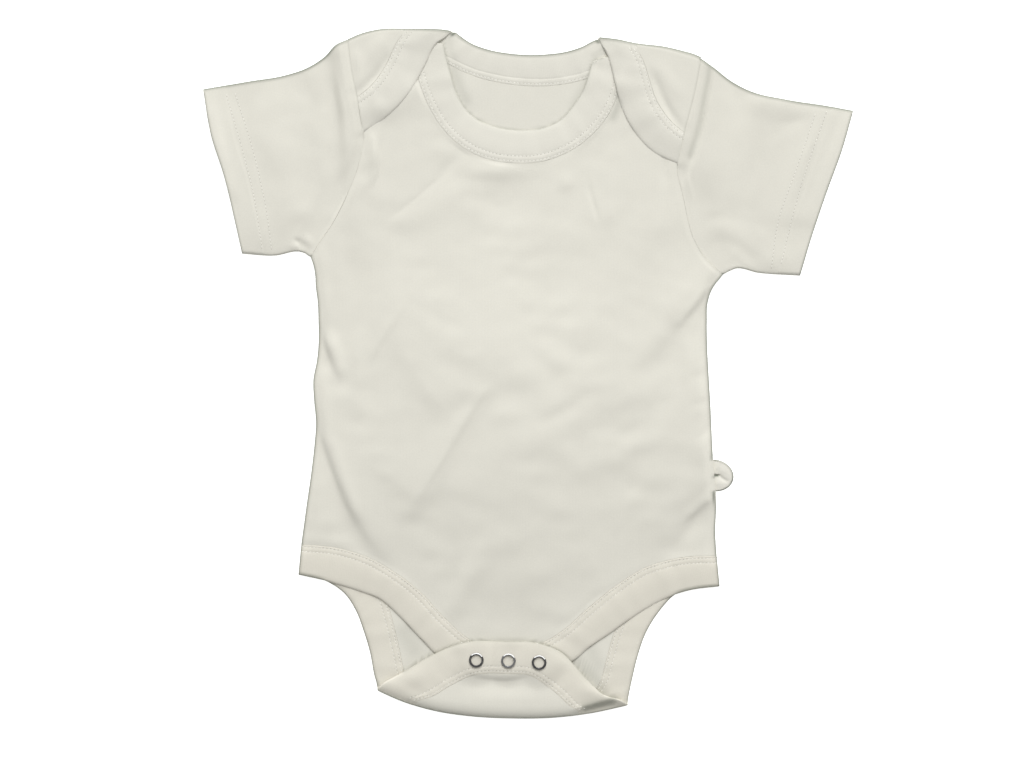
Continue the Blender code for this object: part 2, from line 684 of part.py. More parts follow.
def side_loop(surface):
    """A loop of folded tape that stands out of the right side seam, bent round a small hole."""
    edge = along(SIDE_RIGHT, even(200))
    rows = []
    for angle in np.linspace(-math.pi / 2, math.pi / 2, 13):
        reach = np.array([math.cos(angle), math.sin(angle)])
        rim = reach * (LOOP_REACH, LOOP_HALF_HEIGHT)
        hole = reach * LOOP_HOLE_RADIUS
        line = hole + (rim - hole) * even(4)[:, None]
        y = LOOP_MIDDLE_Y + line[:, 1]
        x = np.interp(y, edge[:, 1], edge[:, 0]) + LOOP_SEAM_GAP + line[:, 0]
        rows.append(np.stack([x, y], axis=1))
    z = LAYER_GAP + LOOP_THICKNESS / 2
    return sheet("side_loop", [lifted(np.array(rows), z)], LOOP_THICKNESS, surface)


def main():
    for old in list(bpy.data.objects):
        bpy.data.objects.remove(old, do_unlink=True)
    jersey = material("jersey", JERSEY, 0.92)
    binding = material("binding", BINDING, 0.9)
    tape = material("tape", BINDING, 0.9)
    metal = material("snap_metal", METAL, 0.25, metallic=1.0)
    back_panel(jersey)
    front_panel(jersey)
    sleeve("sleeve_left", SLEEVE_TOP_LEFT, SLEEVE_UNDER_LEFT, ARMHOLE_LEFT, CUFF_LEFT, jersey)
    sleeve("sleeve_right", SLEEVE_TOP_RIGHT, SLEEVE_UNDER_RIGHT, ARMHOLE_RIGHT, CUFF_RIGHT, jersey)
    neck_band_back(binding)
    neck_band_front(binding)
    leg_band_front(binding)
    leg_band_back(binding)
    snap_rings_and_studs(metal)
    side_loop(tape)


main()
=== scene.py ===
import math

import bpy
import mathutils
import numpy as np
from mathutils.bvhtree import BVHTree
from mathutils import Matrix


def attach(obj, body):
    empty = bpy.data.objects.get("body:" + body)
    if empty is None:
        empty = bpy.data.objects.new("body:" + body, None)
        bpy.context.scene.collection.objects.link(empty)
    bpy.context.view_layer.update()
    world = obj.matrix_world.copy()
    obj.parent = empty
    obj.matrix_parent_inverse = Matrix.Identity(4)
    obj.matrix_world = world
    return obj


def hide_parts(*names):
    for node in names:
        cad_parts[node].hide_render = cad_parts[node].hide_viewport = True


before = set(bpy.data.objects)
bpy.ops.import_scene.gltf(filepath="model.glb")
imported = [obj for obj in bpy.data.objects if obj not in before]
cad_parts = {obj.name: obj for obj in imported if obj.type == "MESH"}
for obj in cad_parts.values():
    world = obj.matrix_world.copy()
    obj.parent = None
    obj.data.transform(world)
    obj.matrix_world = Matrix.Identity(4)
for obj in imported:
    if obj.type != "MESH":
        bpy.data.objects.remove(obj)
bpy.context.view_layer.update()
mm = 0.001
print("frame loaded")

# Heights of the middle of each layer, and the walls
layers = {
    "jerseyWall": 0.9, "bandWall": 0.95, "back": 0.5, "backBand": 0.53, "front": 2.0, "frontBand": 2.02,
    "sideSeam": 1.5, "lowestFront": 1.47, "lap": 3.5, "lapBand": 3.52, "shoulderFall": 0.3, "foldReach": 0.75,
    "seamGap": 0.02, "seamRim": 0.08, "freeRim": 0.36,
}

# Outlines, (x, y). The garment was laid out by hand, so its halves differ.
underarmLeft, underarmRight = (-126.3, 67.5), (113.3, 57.3)
sideLeft = [(-130.8, -99.3), (-128.0, -79.0), (-124.9, -57.0), (-122.9, -39.0), (-122.2, -29.0)]
sideLeft += [(-123.3, -16.0), (-123.8, -4.0), (-121.7, 7.5), (-120.7, 19.0), (-120.8, 30.7)]
sideLeft += [(-121.3, 42.3), (-122.4, 50.5), (-122.7, 57.0), (-123.9, 63.4), underarmLeft]
sideRight = [(108.7, -106.2), (107.9, -92.0), (108.4, -79.0), (106.1, -44.7), (105.1, -21.5)]
sideRight += [(103.9, 0.0), (103.2, 14.0), (103.0, 30.0), (103.5, 41.2), (105.8, 48.5), (108.9, 53.3)]
sideRight += [(110.9, 55.6), underarmRight]
armholeLeft = [underarmLeft, (-121.4, 75.2), (-113.2, 87.4), (-104.6, 104.5), (-98.0, 122.5), (-95.4, 136.0)]
armholeLeft += [(-98.6, 157.0), (-102.6, 176.5), (-104.7, 193.6)]
armholeRight = [underarmRight, (108.1, 61.4), (102.0, 67.7), (96.0, 78.5), (90.4, 101.0), (86.7, 119.5)]
armholeRight += [(87.8, 128.5), (91.0, 141.0), (96.6, 162.7), (100.5, 182.8)]
shoulderLeft = [(-104.9, 193.7), (-96.5, 197.2), (-86.0, 199.6), (-72.0, 200.0), (-58.0, 199.7)]
shoulderLeft += [(-50.0, 199.5), (-45.4, 199.0)]
shoulderRight = [(41.7, 194.5), (52.0, 193.0), (62.5, 190.9), (80.0, 188.7), (90.0, 186.3)]
shoulderRight += [(96.0, 184.6), (100.6, 182.6)]
crotch = [(-87.0, -183.9), (-69.0, -191.5), (-52.0, -196.1), (-33.0, -198.8), (-9.0, -200.0)]
crotch += [(13.0, -199.7), (34.0, -197.4), (57.4, -192.5)]
frontShoulderLeft = [(-103.8, 187.6), (-96.0, 190.6), (-84.0, 193.6), (-68.5, 194.3)]
frontShoulderRight = [(57.6, 186.6), (72.0, 184.9), (86.0, 181.4), (99.2, 176.4)]

# Binding strips, station by station: seam x, seam y, free edge x, free edge y
neckBandFront = [
    (-68.5, 194.3, -49.4, 191.4), (-66.6, 181.5, -47.4, 182.5), (-63.4, 169.8, -44.8, 173.0),
    (-58.4, 156.7, -41.2, 161.5), (-51.2, 144.2, -36.2, 153.2), (-41.0, 133.4, -29.4, 147.2),
    (-27.3, 125.6, -20.0, 143.3), (-7.7, 121.9, -6.4, 141.1), (12.0, 123.8, 8.6, 142.2),
    (27.6, 130.8, 19.0, 147.0), (38.7, 140.0, 26.8, 155.8), (47.0, 150.6, 32.0, 164.2),
    (52.4, 162.8, 35.3, 173.4), (55.7, 175.0, 37.6, 180.3), (57.6, 186.6, 39.6, 182.0),
]
neckBandBack = [
    (-71.9, 197.9, -45.4, 196.5), (-66.2, 192.8, -43.3, 197.8), (-60.4, 188.0, -39.4, 194.9),
    (-47.0, 180.0, -32.4, 190.4),
    (-33.0, 173.2, -22.0, 186.8), (-18.2, 169.2, -12.4, 185.0), (-2.5, 167.1, -1.2, 184.0),
    (13.3, 167.0, 11.0, 184.3), (26.0, 168.9, 21.8, 185.7), (38.4, 172.6, 31.2, 188.5),
    (51.2, 179.8, 37.9, 192.0), (57.2, 184.0, 40.4, 193.1), (62.5, 188.2, 41.8, 192.4),
]
lapBandLeft = [
    (-99.2, 160.2, -95.9, 139.6), (-92.2, 165.6, -84.0, 147.2), (-86.4, 172.4, -75.6, 154.8),
    (-81.8, 180.0, -67.6, 164.8), (-78.4, 187.6, -60.2, 178.4), (-75.2, 193.4, -52.8, 191.6),
    (-71.9, 197.9, -45.4, 196.5),
]
lapBandRight = [
    (62.5, 188.2, 41.8, 192.4), (66.2, 182.6, 45.4, 186.2), (69.2, 174.6, 48.4, 177.4),
    (71.8, 165.6, 50.8, 167.6), (74.8, 157.8, 54.2, 154.7), (79.2, 150.6, 61.4, 140.8),
    (84.8, 144.2, 72.8, 128.4), (90.7, 139.6, 87.0, 121.5),
]
legBandFront = [
    (-130.8, -99.5, -132.6, -116.4), (-111.6, -101.5, -113.6, -120.9), (-92.3, -107.4, -97.4, -126.0),
    (-75.6, -117.0, -85.4, -131.8), (-62.2, -127.6, -74.6, -141.4), (-48.4, -142.4, -62.4, -154.2),
    (-33.2, -155.3, -48.4, -167.4), (-22.0, -158.4, -30.0, -175.4), (-10.5, -159.0, -10.5, -177.2),
    (0.6, -158.6, 9.0, -175.4), (9.5, -156.2, 25.6, -167.8), (19.6, -150.1, 34.4, -160.4),
    (34.8, -136.7, 47.6, -151.3), (51.8, -123.1, 61.6, -141.4), (69.0, -112.7, 77.4, -131.2),
    (90.6, -107.0, 94.4, -125.4), (108.9, -106.2, 110.6, -123.2),
]
legBandBackLeft = [
    (-130.8, -99.5, -132.4, -116.0), (-112.0, -102.0, -119.0, -119.4), (-95.0, -110.4, -106.6, -127.2),
    (-84.8, -125.0, -99.8, -137.0), (-79.0, -143.0, -95.6, -147.4), (-74.4, -162.0, -91.0, -162.8),
    (-70.6, -178.6, -88.6, -175.8), (-65.5, -190.6, -86.8, -181.9),
]
flapBand = [
    (-65.5, -190.6, -86.8, -181.9), (-55.6, -187.7, -72.2, -173.4), (-43.5, -180.6, -55.4, -163.6),
    (-30.4, -175.0, -36.4, -156.2), (-12.8, -174.4, -14.2, -155.8), (2.3, -175.9, 5.2, -156.6),
    (11.0, -181.6, 18.4, -161.6), (19.4, -188.6, 34.0, -177.6), (24.3, -193.2, 43.6, -186.4),
    (29.5, -196.0, 57.2, -190.4),
]
legBandBackRight = [
    (29.5, -196.0, 57.2, -190.4), (40.8, -181.8, 59.3, -180.2), (45.6, -166.4, 62.8, -165.4),
    (50.4, -150.0, 67.8, -151.0), (58.6, -133.6, 75.2, -138.8), (71.0, -118.6, 85.4, -128.0),
    (88.6, -109.6, 97.4, -124.4), (108.9, -106.2, 110.4, -122.8),
]

# Sleeves, each line from the armhole outwards, and the cuff from the top down
sleeveLines = {
    "left": {
        "top": [(-104.9, 193.7), (-110.5, 190.2), (-117.0, 183.6), (-127.0, 177.0), (-141.0, 172.2),
                (-161.2, 168.8), (-188.8, 164.1)],
        "under": [underarmLeft, (-127.6, 68.6), (-129.2, 69.8), (-132.0, 70.7), (-147.4, 68.6), (-166.1, 69.7)],
        "cuff": [(-188.8, 164.1), (-184.2, 138.6), (-176.6, 114.6), (-170.4, 88.6), (-166.1, 69.7)],
        "armhole": armholeLeft,
    },
    "right": {
        "top": [(100.6, 182.6), (107.0, 176.9), (117.5, 168.9), (131.1, 162.2), (150.0, 158.0),
                (173.4, 154.4), (188.8, 151.6)],
        "under": [underarmRight, (117.1, 59.7), (120.1, 60.9), (134.0, 58.6), (158.0, 57.0)],
        "cuff": [(188.8, 151.6), (182.6, 130.5), (172.8, 103.4), (164.2, 77.6), (158.0, 57.0)],
        "armhole": armholeRight,
    },
}
snapPlaces = [(-30.0, -166.4), (-11.4, -166.8), (6.4, -167.8)]
# The side loop: how far it reaches from the side seam, half its height and the y of its middle
loopOutline = {"reach": 11.3, "halfHeight": 9.3, "middle": -59.5}

# Creases: how far each reaches to the left and right of its line, then x, y and height along it.
# Bulges: x, y, the two reaches, turn in degrees, height. A height below 0 is a dip.
frontCreases = {
    "leftHip": (13.6, 5.6, [(-124.9, -16.7, 0), (-121.4, -26.1, 0.07), (-115.2, -42.9, -0.08), (-109.2, -55.8, 0.19),
        (-102.5, -69.6, 0.7), (-97.1, -83.4, 1.3), (-89, -97.4, 1.29), (-73.9, -110.5, 0)]),
    "leftHipFoot": (4, 12.6, [(-127, -16.6, 0), (-124.9, -27.5, -1.42), (-116.6, -51.1, -1.95),
        (-111.4, -66.7, -1.19), (-104.5, -83.1, -0.75), (-96, -95.7, -0.56), (-85.4, -106.1, 0)]),
    "leftWaist": (4.5, 2.2, [(-127.8, 39.5, 0), (-122.1, 32.5, 0.48), (-115.3, 17.3, 1.01), (-111.8, 6.8, 0.54),
        (-108.8, -4.2, 0)]),
    "rightUnderarm": (6.5, 8.8, [(110.3, 60.2, 0), (101.3, 54.4, 0.86), (88.5, 38.4, 1.52), (79.7, 25.4, 0.97),
        (71.2, 13.8, 1.28), (57.9, 5, 0)]),
    "centreLong": (6.8, 11.9, [(4, 0.3, 0), (-10.3, -3.5, -0.33), (-25.3, -9, 0.68), (-34.2, -19.3, 1.08),
        (-41.4, -30.5, 1.1), (-46.3, -42.1, 1.02), (-52.3, -53.9, 0.94), (-58.5, -65.8, 0.77), (-66, -74.4, 0.81),
        (-75.4, -88.2, 0)]),
    "centreBeside": (5.9, 5.4, [(-60.5, -35.4, 0), (-46.3, -28.3, -0.27), (-40.3, -20.8, -0.62), (-27.1, -11.8, 0)]),
    "centreBlob": (6.5, 11, [(-24, -20.8, 0), (-17.5, -19.5, 1.06), (-9.2, -17.3, 0.86), (3.6, -18.5, 0)]),
    "valleyE": (9.6, 5, [(3.7, -23.9, 0), (14, -19.3, 0.98), (25.2, -11.6, 0.62), (36.3, -5.5, 0.4),
        (47.4, -0.3, 0)]),
    "ridgeE": (6.8, 9.7, [(1.8, -40.5, 0), (15.6, -31.8, 0.81), (30.9, -25.9, 0.66), (47, -13.5, 0)]),
    "crestE0": (7.6, 6.5, [(2.7, 17, 0), (6.5, 4.8, -0.58), (21.3, 4.4, 0.41), (22.7, -7.2, 0)]),
    "troughF1": (9.7, 6, [(28.5, -33, 0), (48, -29.2, -0.63), (62.2, -23.8, -0.54), (78.1, -15.1, -1.3),
        (90.6, -11.3, 0)]),
    "ridgeF": (5.6, 9.4, [(34, -47.6, 0), (44.6, -39.3, -0.44), (61.5, -33.6, -0.59), (74.7, -25.9, -0.81),
        (92.1, -19.6, 0)]),
    "troughF2": (6, 6.5, [(14.1, -35.6, 0), (22.6, -48.3, 0.34), (32.1, -56.8, 0.2), (43.3, -51, 0.13),
        (58.1, -45, 0.43), (72.9, -39.3, 0.09), (88.5, -33.8, 0)]),
    "softF3": (12.2, 8.3, [(-28.6, -58.7, 0), (-9.5, -40.2, 0.58), (11.1, -40.9, 0.55), (25.6, -50.9, 0)]),
    "leftCentre": (18.3, 8, [(-80.5, 26.6, 0), (-70.8, 12.2, 0.95), (-62.3, -0.4, 0.47), (-53.6, -13.2, 0.84),
        (-42.4, -27.3, 0)]),
    "leftArc": (13.3, 14.3, [(-78.6, 42.2, 0), (-88.1, 23.4, 1.01), (-90.7, 4.8, 0.33), (-91.4, -13.5, 0)]),
    "leftSoft": (5.2, 5.6, [(-94.4, 30.7, 0), (-98.2, 9.2, 0.7), (-97.1, -8.2, 0.87), (-100.5, -38.5, 0)]),
    "thinH": (2.5, 5.1, [(-72.7, 43.7, 0), (-53.3, 32.7, -0.11), (-39.7, 25.3, -0.08), (-18, 14.5, 0)]),
    "bandH": (7.6, 9.5, [(-69.4, 19.7, 0), (-46.3, 7, -0.41), (-30.8, 10.5, -0.4), (-12.2, 12.7, 0)]),
    "chestTrough": (3.4, 3.4, [(-31, 135.4, 0), (-48.8, 117.2, -0.34), (-61.7, 106.4, -0.25), (-74.6, 95, -0.26),
        (-90.6, 82.4, 0)]),
    "chestRidge": (6.9, 7.2, [(-25, 123.3, 0), (-40.9, 106.2, 0.64), (-53.8, 96.5, 0.48), (-69.2, 87.4, 0.5),
        (-81.7, 77.1, 0)]),
    "chestPatch": (8.7, 11.3, [(-30.9, 102.9, 0), (-16.9, 104.9, -1.37), (-8.2, 113.3, -0.9), (3.4, 116.8, 0)]),
    "chestBand": (11, 14.9, [(-87.1, 79.7, 0), (-66.9, 84.9, -0.55), (-51.9, 92.8, -0.06), (-36.8, 97.7, 0.51),
        (-24.8, 99.7, 0)]),
    "chestR1": (7.9, 12, [(33.6, 123.6, 0), (34.5, 118.7, 0.53), (34.1, 109.4, 0.36), (30.4, 102, 0)]),
    "chestR2": (21.8, 9.4, [(51.5, 133, 0), (48.9, 120.3, 0.99), (47, 110.9, 0.34), (46.4, 100, 0)]),
    "chestR3": (8.1, 11, [(38.8, 104.6, 0), (34.4, 97.5, 0.77), (42, 91.1, 0.31), (54.1, 81.3, 0)]),
    "chestR4": (5.2, 3.3, [(16.9, 106.3, 0), (22.2, 109.7, 0.34), (27.6, 110, 0)]),
    "chestR5": (11.8, 6.7, [(32.5, 135.2, 0), (21.4, 122.2, -0.56), (16.1, 111.9, -0.33), (9.3, 103, 0)]),
    "broadL1": (21.8, 12, [(-18.7, 56.6, 0), (-7, 75.5, 0.5), (11.3, 82.7, 0.87), (29.8, 81.1, 0.91),
        (48.1, 70.7, 0)]),
    "broadL2": (27.4, 9.5, [(57.4, 60.6, 0), (67.1, 74.6, 0.48), (73.8, 87, 1.23), (93.6, 92.7, 0)]),
    "thinM": (3.3, 2.6, [(68.3, -54, 0), (64.3, -66.8, 0.09), (58.3, -77.6, 0.09), (54.5, -92, -0.18),
        (48.2, -99.9, 0)]),
    "leftM2": (18.8, 5, [(-94.4, -49.1, 0), (-83.2, -57.1, 0.37), (-72.9, -63.3, 0.34), (-62.1, -69.1, 0)]),
    "endD": (8.2, 6.2, [(-51.1, -63.4, 0), (-39.5, -64.9, 0.27), (-33.8, -80.2, -0.25), (-19.6, -72.1, 0)]),
    "bellyRidge": (8.2, 5, [(-20.7, -95.6, 0), (-30, -106.4, 0.66), (-35.7, -116.8, 0.87), (-38.9, -127.9, 0.73),
        (-49.5, -146.5, 0)]),
    "bellyTrough": (5.4, 5.4, [(-23.3, -105, 0), (-30.2, -114.8, 0.44), (-36.4, -123.8, 0.5), (-44.7, -148.1, 0)]),
    "bellyK3": (7.7, 7.1, [(-34.5, -102.5, 0), (-17.1, -98.8, 0.46), (-5.7, -99.4, 0.08), (9, -101.4, 0)]),
    "bellyK4": (13.2, 11.9, [(-13.6, -131.6, 0), (0.4, -126.6, 0.69), (7.8, -113.3, 0.83), (26.9, -116.2, 0)]),
    "bellyK5": (8.8, 7, [(-8.7, -141, 0), (9.6, -135.4, 0.6), (23.8, -137.3, 0.53), (28, -126.5, 0)]),
    "bellyK6": (4.3, 5.4, [(10.6, -146.2, 0), (27.8, -146.5, -0.52), (35.9, -137.8, -0.7), (48.1, -122.6, 0)]),
    "bellyK7": (7.2, 13.7, [(-52.6, -102.6, 0), (-53.7, -113.5, 0.64), (-52.8, -124.6, 0.18), (-58.4, -134.1, 0)]),
    "bellyK8": (6.5, 27.4, [(26.9, -99.2, 0), (30.8, -105.7, 0.38), (43.4, -112.8, 0)]),
    "bellyK9": (9.9, 9.5, [(-6.8, -115.6, 0), (0.3, -114.6, 0.43), (13.6, -111.8, 0)]),
    "rightHip": (10.1, 12.9, [(117.1, -53.2, 0), (108.7, -58.6, 1.24), (86.8, -73.4, 1.19), (81.1, -88.5, 0.82),
        (61.1, -103.6, 0)]),
    "rightHipFoot": (5.6, 4, [(116.2, -64.7, 0), (107.1, -69.4, 0.68), (97, -86.6, -0.89), (88.4, -98.4, -0.39),
        (77.8, -108.3, 0)]),
    "rightVertical": (8.3, 3.5, [(91.4, 30.6, 0), (93, 9.5, 0.67), (92.5, -2.8, 0.51), (95.7, -14.6, 0)]),
    "rightEdge1": (3.1, 5.3, [(91.4, -3, 0), (99.4, -2.1, -0.4), (107.7, 4.6, -0.04), (116.6, 7.1, 0)]),
    "rightEdge2": (2.4, 3, [(93.1, -20.2, 0), (100.8, -17.4, -0.24), (109.4, -14, 0.03), (118.7, -10.4, 0)]),
    "rightBulge": (12.2, 9.5, [(96.4, -18.4, 0), (103.3, -31.6, -0.4), (104.8, -45.2, 1.39), (96.7, -53.6, 0)]),
    "leftShoulder": (8.1, 6.9, [(-109.1, 92.4, 0), (-104.5, 76.1, -0.37), (-101.6, 60.3, -0.69), (-103.4, 34.1, 0)]),
    "leftEdge": (4, 6.5, [(-118.3, 76.2, 0), (-120.9, 58.4, 0.86), (-119.1, 38.8, 0.91), (-117.5, 25.3, 0)]),
    "lapLine": (2.3, 3.1, [(-86.5, 150.5, 0), (-88.4, 133.9, 0.56), (-90.3, 124.1, 0.33), (-91, 109, 0.12),
        (-92.4, 98.1, 0)]),
    "lapRidge": (2.5, 2.8, [(-94.8, 137.9, 0), (-91, 127.2, 0.33), (-93.2, 113.5, 0.36), (-98.5, 98.8, 0)]),
    "rightSmall": (2.6, 3.2, [(79.4, 132.3, 0), (79.4, 116.5, -0.4), (80, 104, 0)]),
    "hipLine": (5, 1.3, [(-119.8, -30.6, 0), (-115.8, -44.6, 0.85), (-109.8, -60.6, 0.9), (-103.3, -76.6, 0.75),
        (-95.8, -90, 0)]),
    "waistLine": (5, 1.4, [(-119.2, 25, 0), (-114.9, 13.4, 0.8), (-110.4, 2.4, 0.65), (-108, -4, 0)]),
    "centreLine": (1.2, 4.5, [(-19.5, -4.6, 0), (-27.5, -14.6, 0.26), (-40.5, -35.6, 0.36), (-53.5, -56.6, 0.34),
        (-63.5, -72.6, 0.24), (-67.5, -79, 0)]),
    "arcLine": (1.2, 4, [(-69.6, 43.4, 0), (-77.6, 30.4, 0.24), (-87.6, 14.4, 0.24), (-96.6, -1.6, 0)]),
    "chestLine": (1.1, 4, [(-47.4, 118.6, 0), (-57.4, 110.6, 0.24), (-70.4, 99.6, 0.22), (-84.4, 88.6, 0)]),
    "chestRight": (1.4, 1.4, [(35, 113, 0), (36.4, 104, -0.3), (39, 95, -0.3), (41, 86, 0)]),
    "underarmLine": (1.6, 3.2, [(107, 53, 0), (102, 47, 0.8), (95.6, 38.8, 0.9), (89.2, 30.8, 0.45), (84, 24, 0)]),
    "hipRight": (1.5, 3.6, [(109, -71, 0), (103.4, -74.4, 0.6), (96.4, -80.4, 0.6), (88, -87.5, 0)]),
    "sideRight": (2, 2, [(107, -27, 0), (103, -34, -0.45), (98, -41, 0)]),
    "foldByLap": (1.1, 3, [(-92, 142, 0), (-89.6, 135, 0.6), (-88, 126, 0.95), (-88.4, 116, 0.7), (-92, 106, 0)]),
}
frontBulges = [
    (8.7, 92.4, 58.3, 58.8, 0, -0.97), (1.2, 21.6, 60, 50, 36, 5.23), (-3.9, -69.5, 45.8, 56.2, -12, 5.67),
    (-81.4, -20.3, 37.5, 58.3, -50, 2.35), (81.5, -24.8, 58.8, 38.6, -4, 3.32), (-3.6, -135.5, 60, 25.7, 6, -0.64),
    (-63.5, 62.6, 32.4, 48.6, 8, 1.42), (57.8, 64.9, 30, 33.5, 20, 0.23), (-76.6, -63.2, 52.9, 30, 0, 1.62),
    (66, -71.4, 36.3, 21.6, 30, 1.11), (-13.9, -15.9, 16.5, 7.8, 10, -0.9), (-35.1, 111.2, 14.7, 6.5, 30, -0.55),
    (-15.7, 113.7, 23.3, 13.9, 15, 1.14), (-0.9, -107.2, 12.6, 7.6, -12, -0.28), (22.7, -134.8, 8.3, 7, 26, -0.44),
    (-5.6, -3.6, 7.4, 8.3, -26, 0.47), (46.4, 105.1, 11.5, 10.5, 0, 0.6), (19.9, 116.3, 9.5, 25.4, -18, 1.13),
    (47.2, 92.7, 8.6, 6, 56, 0.5), (-117.3, 10.5, 5, 15.8, 4, -1.14), (-121.9, -54.9, 7.3, 17.5, -69, 0.16),
    (100.4, -98.4, 10.8, 33.3, -64, -0.29), (-50.7, -79.9, 9.9, 7.6, 30, -0.23), (10.8, 8.8, 7.2, 11.4, -48, 0.29),
    (-95.1, -11.8, 6, 11.2, 0, -0.42), (-34.4, 12, 17.4, 9.1, 0, 0.57), (-48.6, 53.7, 42.8, 11.7, -40, -0.33),
    (24.1, 53.2, 23.5, 10.2, -12, -0.22), (78.8, 42.1, 9.5, 24.4, -30, 0.58), (-101.3, 107.9, 5.6, 43.5, 6, 0.27),
    (-6.2, -80.6, 21, 17.1, 34, -0.61), (57.7, -59.5, 20.6, 25.4, -6, -0.31), (75.3, 7.5, 11.1, 17.8, 34, -0.61),
    (-73.6, -121.4, 24.7, 31.1, 32, -0.57), (73.2, -13.3, 21.6, 6, 0, 0.32), (42.2, -47, 18.3, 9.7, 30, 0.65),
    (-18.8, -125.1, 11.3, 13.6, -6, 0.48), (42.9, -88.3, 7.1, 9, -12, -0.29), (-76.1, 39.1, 15.7, 19, 48, 0.88),
    (3.8, 34.8, 21.6, 27.6, 6, -1.43), (-17, 116.5, 16, 4.5, 0, 0.45),
]
leftSleeveCreases = {
    "ridgeArm": (3.9, 3.9, [(-110.9, 198.4, 0), (-109.1, 185.7, 1.02), (-107.6, 166.8, 1.07), (-103.8, 147.9, 0.7),
        (-103.7, 129.4, 0.73), (-105, 110.9, 0.41), (-110.6, 98.5, 0.12), (-116.8, 88.6, 0)]),
    "troughArm": (3, 4, [(-112.5, 195.4, 0), (-112, 185.9, 0.4), (-110.5, 167.1, 0.64), (-107.2, 152.2, 0.97),
        (-106.4, 135.6, 0.71), (-106.3, 123, 0.36), (-108.7, 106.7, -0.46), (-109.9, 95.3, -0.47),
        (-114.3, 85.3, 0)]),
    "notch": (3.5, 4.1, [(-137.9, 179.7, 0), (-134.7, 173.3, -0.64), (-131.6, 168.9, -0.18), (-129.2, 163.5, -0.34),
        (-126, 156, 0)]),
    "topTrough": (4.3, 4.3, [(-109.6, 179.1, 0), (-114, 170.4, -0.41), (-114.1, 158.6, -0.32), (-124.7, 153, 0)]),
    "upperPatch": (5, 5, [(-158.3, 150.9, 0), (-151.1, 150.9, 0.1), (-147.2, 159.4, 0.22), (-137.9, 159.4, 0)]),
    "upperRidge": (4, 4.3, [(-146.5, 141.2, 0), (-139.9, 150.6, -0.16), (-132.6, 149.8, 0.04), (-127.8, 154.1, 0)]),
    "middleRidge": (4.8, 7, [(-154.1, 144, 0), (-142.4, 141.4, -0.16), (-134.7, 136.3, -0.16), (-124.7, 132.6, -0.18),
        (-117.1, 128.7, 0)]),
    "middleTrough": (4.3, 4.3, [(-137.9, 146.6, 0), (-125, 145.9, 0.15), (-123.6, 134.9, 0.1), (-118.7, 131.3, 0)]),
    "hemTrough": (5.8, 7, [(-164.3, 140.7, 0), (-159.2, 130.6, -0.23), (-153.5, 123.2, -0.26), (-150.9, 113.8, -0.24),
        (-142.6, 107.6, 0)]),
    "lowTrough": (7.9, 7.9, [(-143, 109.2, 0), (-143, 100.2, 0.25), (-144.3, 91.3, 0.21), (-146.7, 81.5, 0.05),
        (-144.3, 74.4, 0)]),
    "lowRidge": (7.3, 6.7, [(-139.4, 116.7, 0), (-135.7, 107.9, 0.03), (-127.6, 101.4, -0.51), (-125.2, 92.6, 0)]),
    "armpitTrough": (5.8, 4.7, [(-146.5, 80.8, 0), (-139, 87.3, 0.37), (-132.8, 94.3, 0.16), (-128.1, 86.5, -0.07),
        (-125.6, 84, 0)]),
    "armpitNotch": (1.5, 1.5, [(-136.4, 77, 0), (-133.4, 75, -0.8), (-131, 72.6, -1.1), (-128.8, 70.4, -0.8),
        (-127.4, 69, 0)]),
    "armpitRidge": (3.4, 4.5, [(-126, 78, 0), (-120.4, 83.9, -0.08), (-116, 91.8, 0.16), (-112.8, 99, -0.2),
        (-112.8, 111.7, 0)]),
    "hemRidge": (3, 2.2, [(-171.5, 159.6, 0), (-167.7, 144.6, 0.17), (-163.3, 129.3, 0.09), (-155.6, 118, -0.1),
        (-153.8, 101.7, 0)]),
    "hemRidgeLow": (3.8, 3.8, [(-158.3, 96.6, 0), (-153.2, 88.2, 0.21), (-153.3, 78.9, 0.42), (-151.6, 64.8, 0)]),
    "cuffRidge": (4.3, 4, [(-185.8, 162.3, 0), (-183.4, 147.1, 0.7), (-179, 128.4, 1.17), (-174.5, 109.6, 0.8),
        (-170.7, 96.8, 0)]),
    "beside": (4, 4, [(-118, 152.6, 0), (-114, 139.8, -0.26), (-114.7, 124.2, -0.51), (-115.6, 107.5, 0)]),
    "besideSeam": (4, 7, [(-112, 190, 0), (-113, 180, -0.8), (-112.4, 162, -1.15), (-110.6, 145, -1.1),
        (-110.6, 130, -0.7), (-114, 114, 0)]),
}
leftSleeveBulges = [
    (-158.3, 153.2, 8, 9.9, 0, 0.35), (-133.4, 167.8, 6, 6, 0, -0.39), (-156.3, 137.8, 6, 8.6, 0, 0.24),
    (-131.2, 124.5, 9.3, 9, 0, -0.2), (-125.9, 116.7, 12.5, 8, -12, -0.42), (-127.3, 109.2, 12.6, 7, -18, -0.4),
    (-158.3, 91.6, 8, 22.2, 0, 0.5), (-135.7, 86, 7.8, 6.8, -12, -0.3), (-120.6, 94.1, 6, 14.8, -12, -0.53),
    (-164.6, 111.9, 5, 16.8, -3, -0.33), (-172.7, 143.6, 6.3, 20, -5, 0.54), (-144.2, 129.3, 23, 27.5, 0, 1.09),
    (-125.6, 141.9, 17.6, 35, 0, -1.69), (-155.1, 104.1, 10.7, 18.7, -12, -0.53),
    (-164.6, 148.1, 15.1, 36.6, 0, -1.59), (-118.1, 183.3, 9.3, 8.3, 6, -0.53), (-127.6, 75.6, 2.6, 4, 40, 0.45),
    (-135.5, 72.4, 3.2, 2.6, 0, 0.35),
]
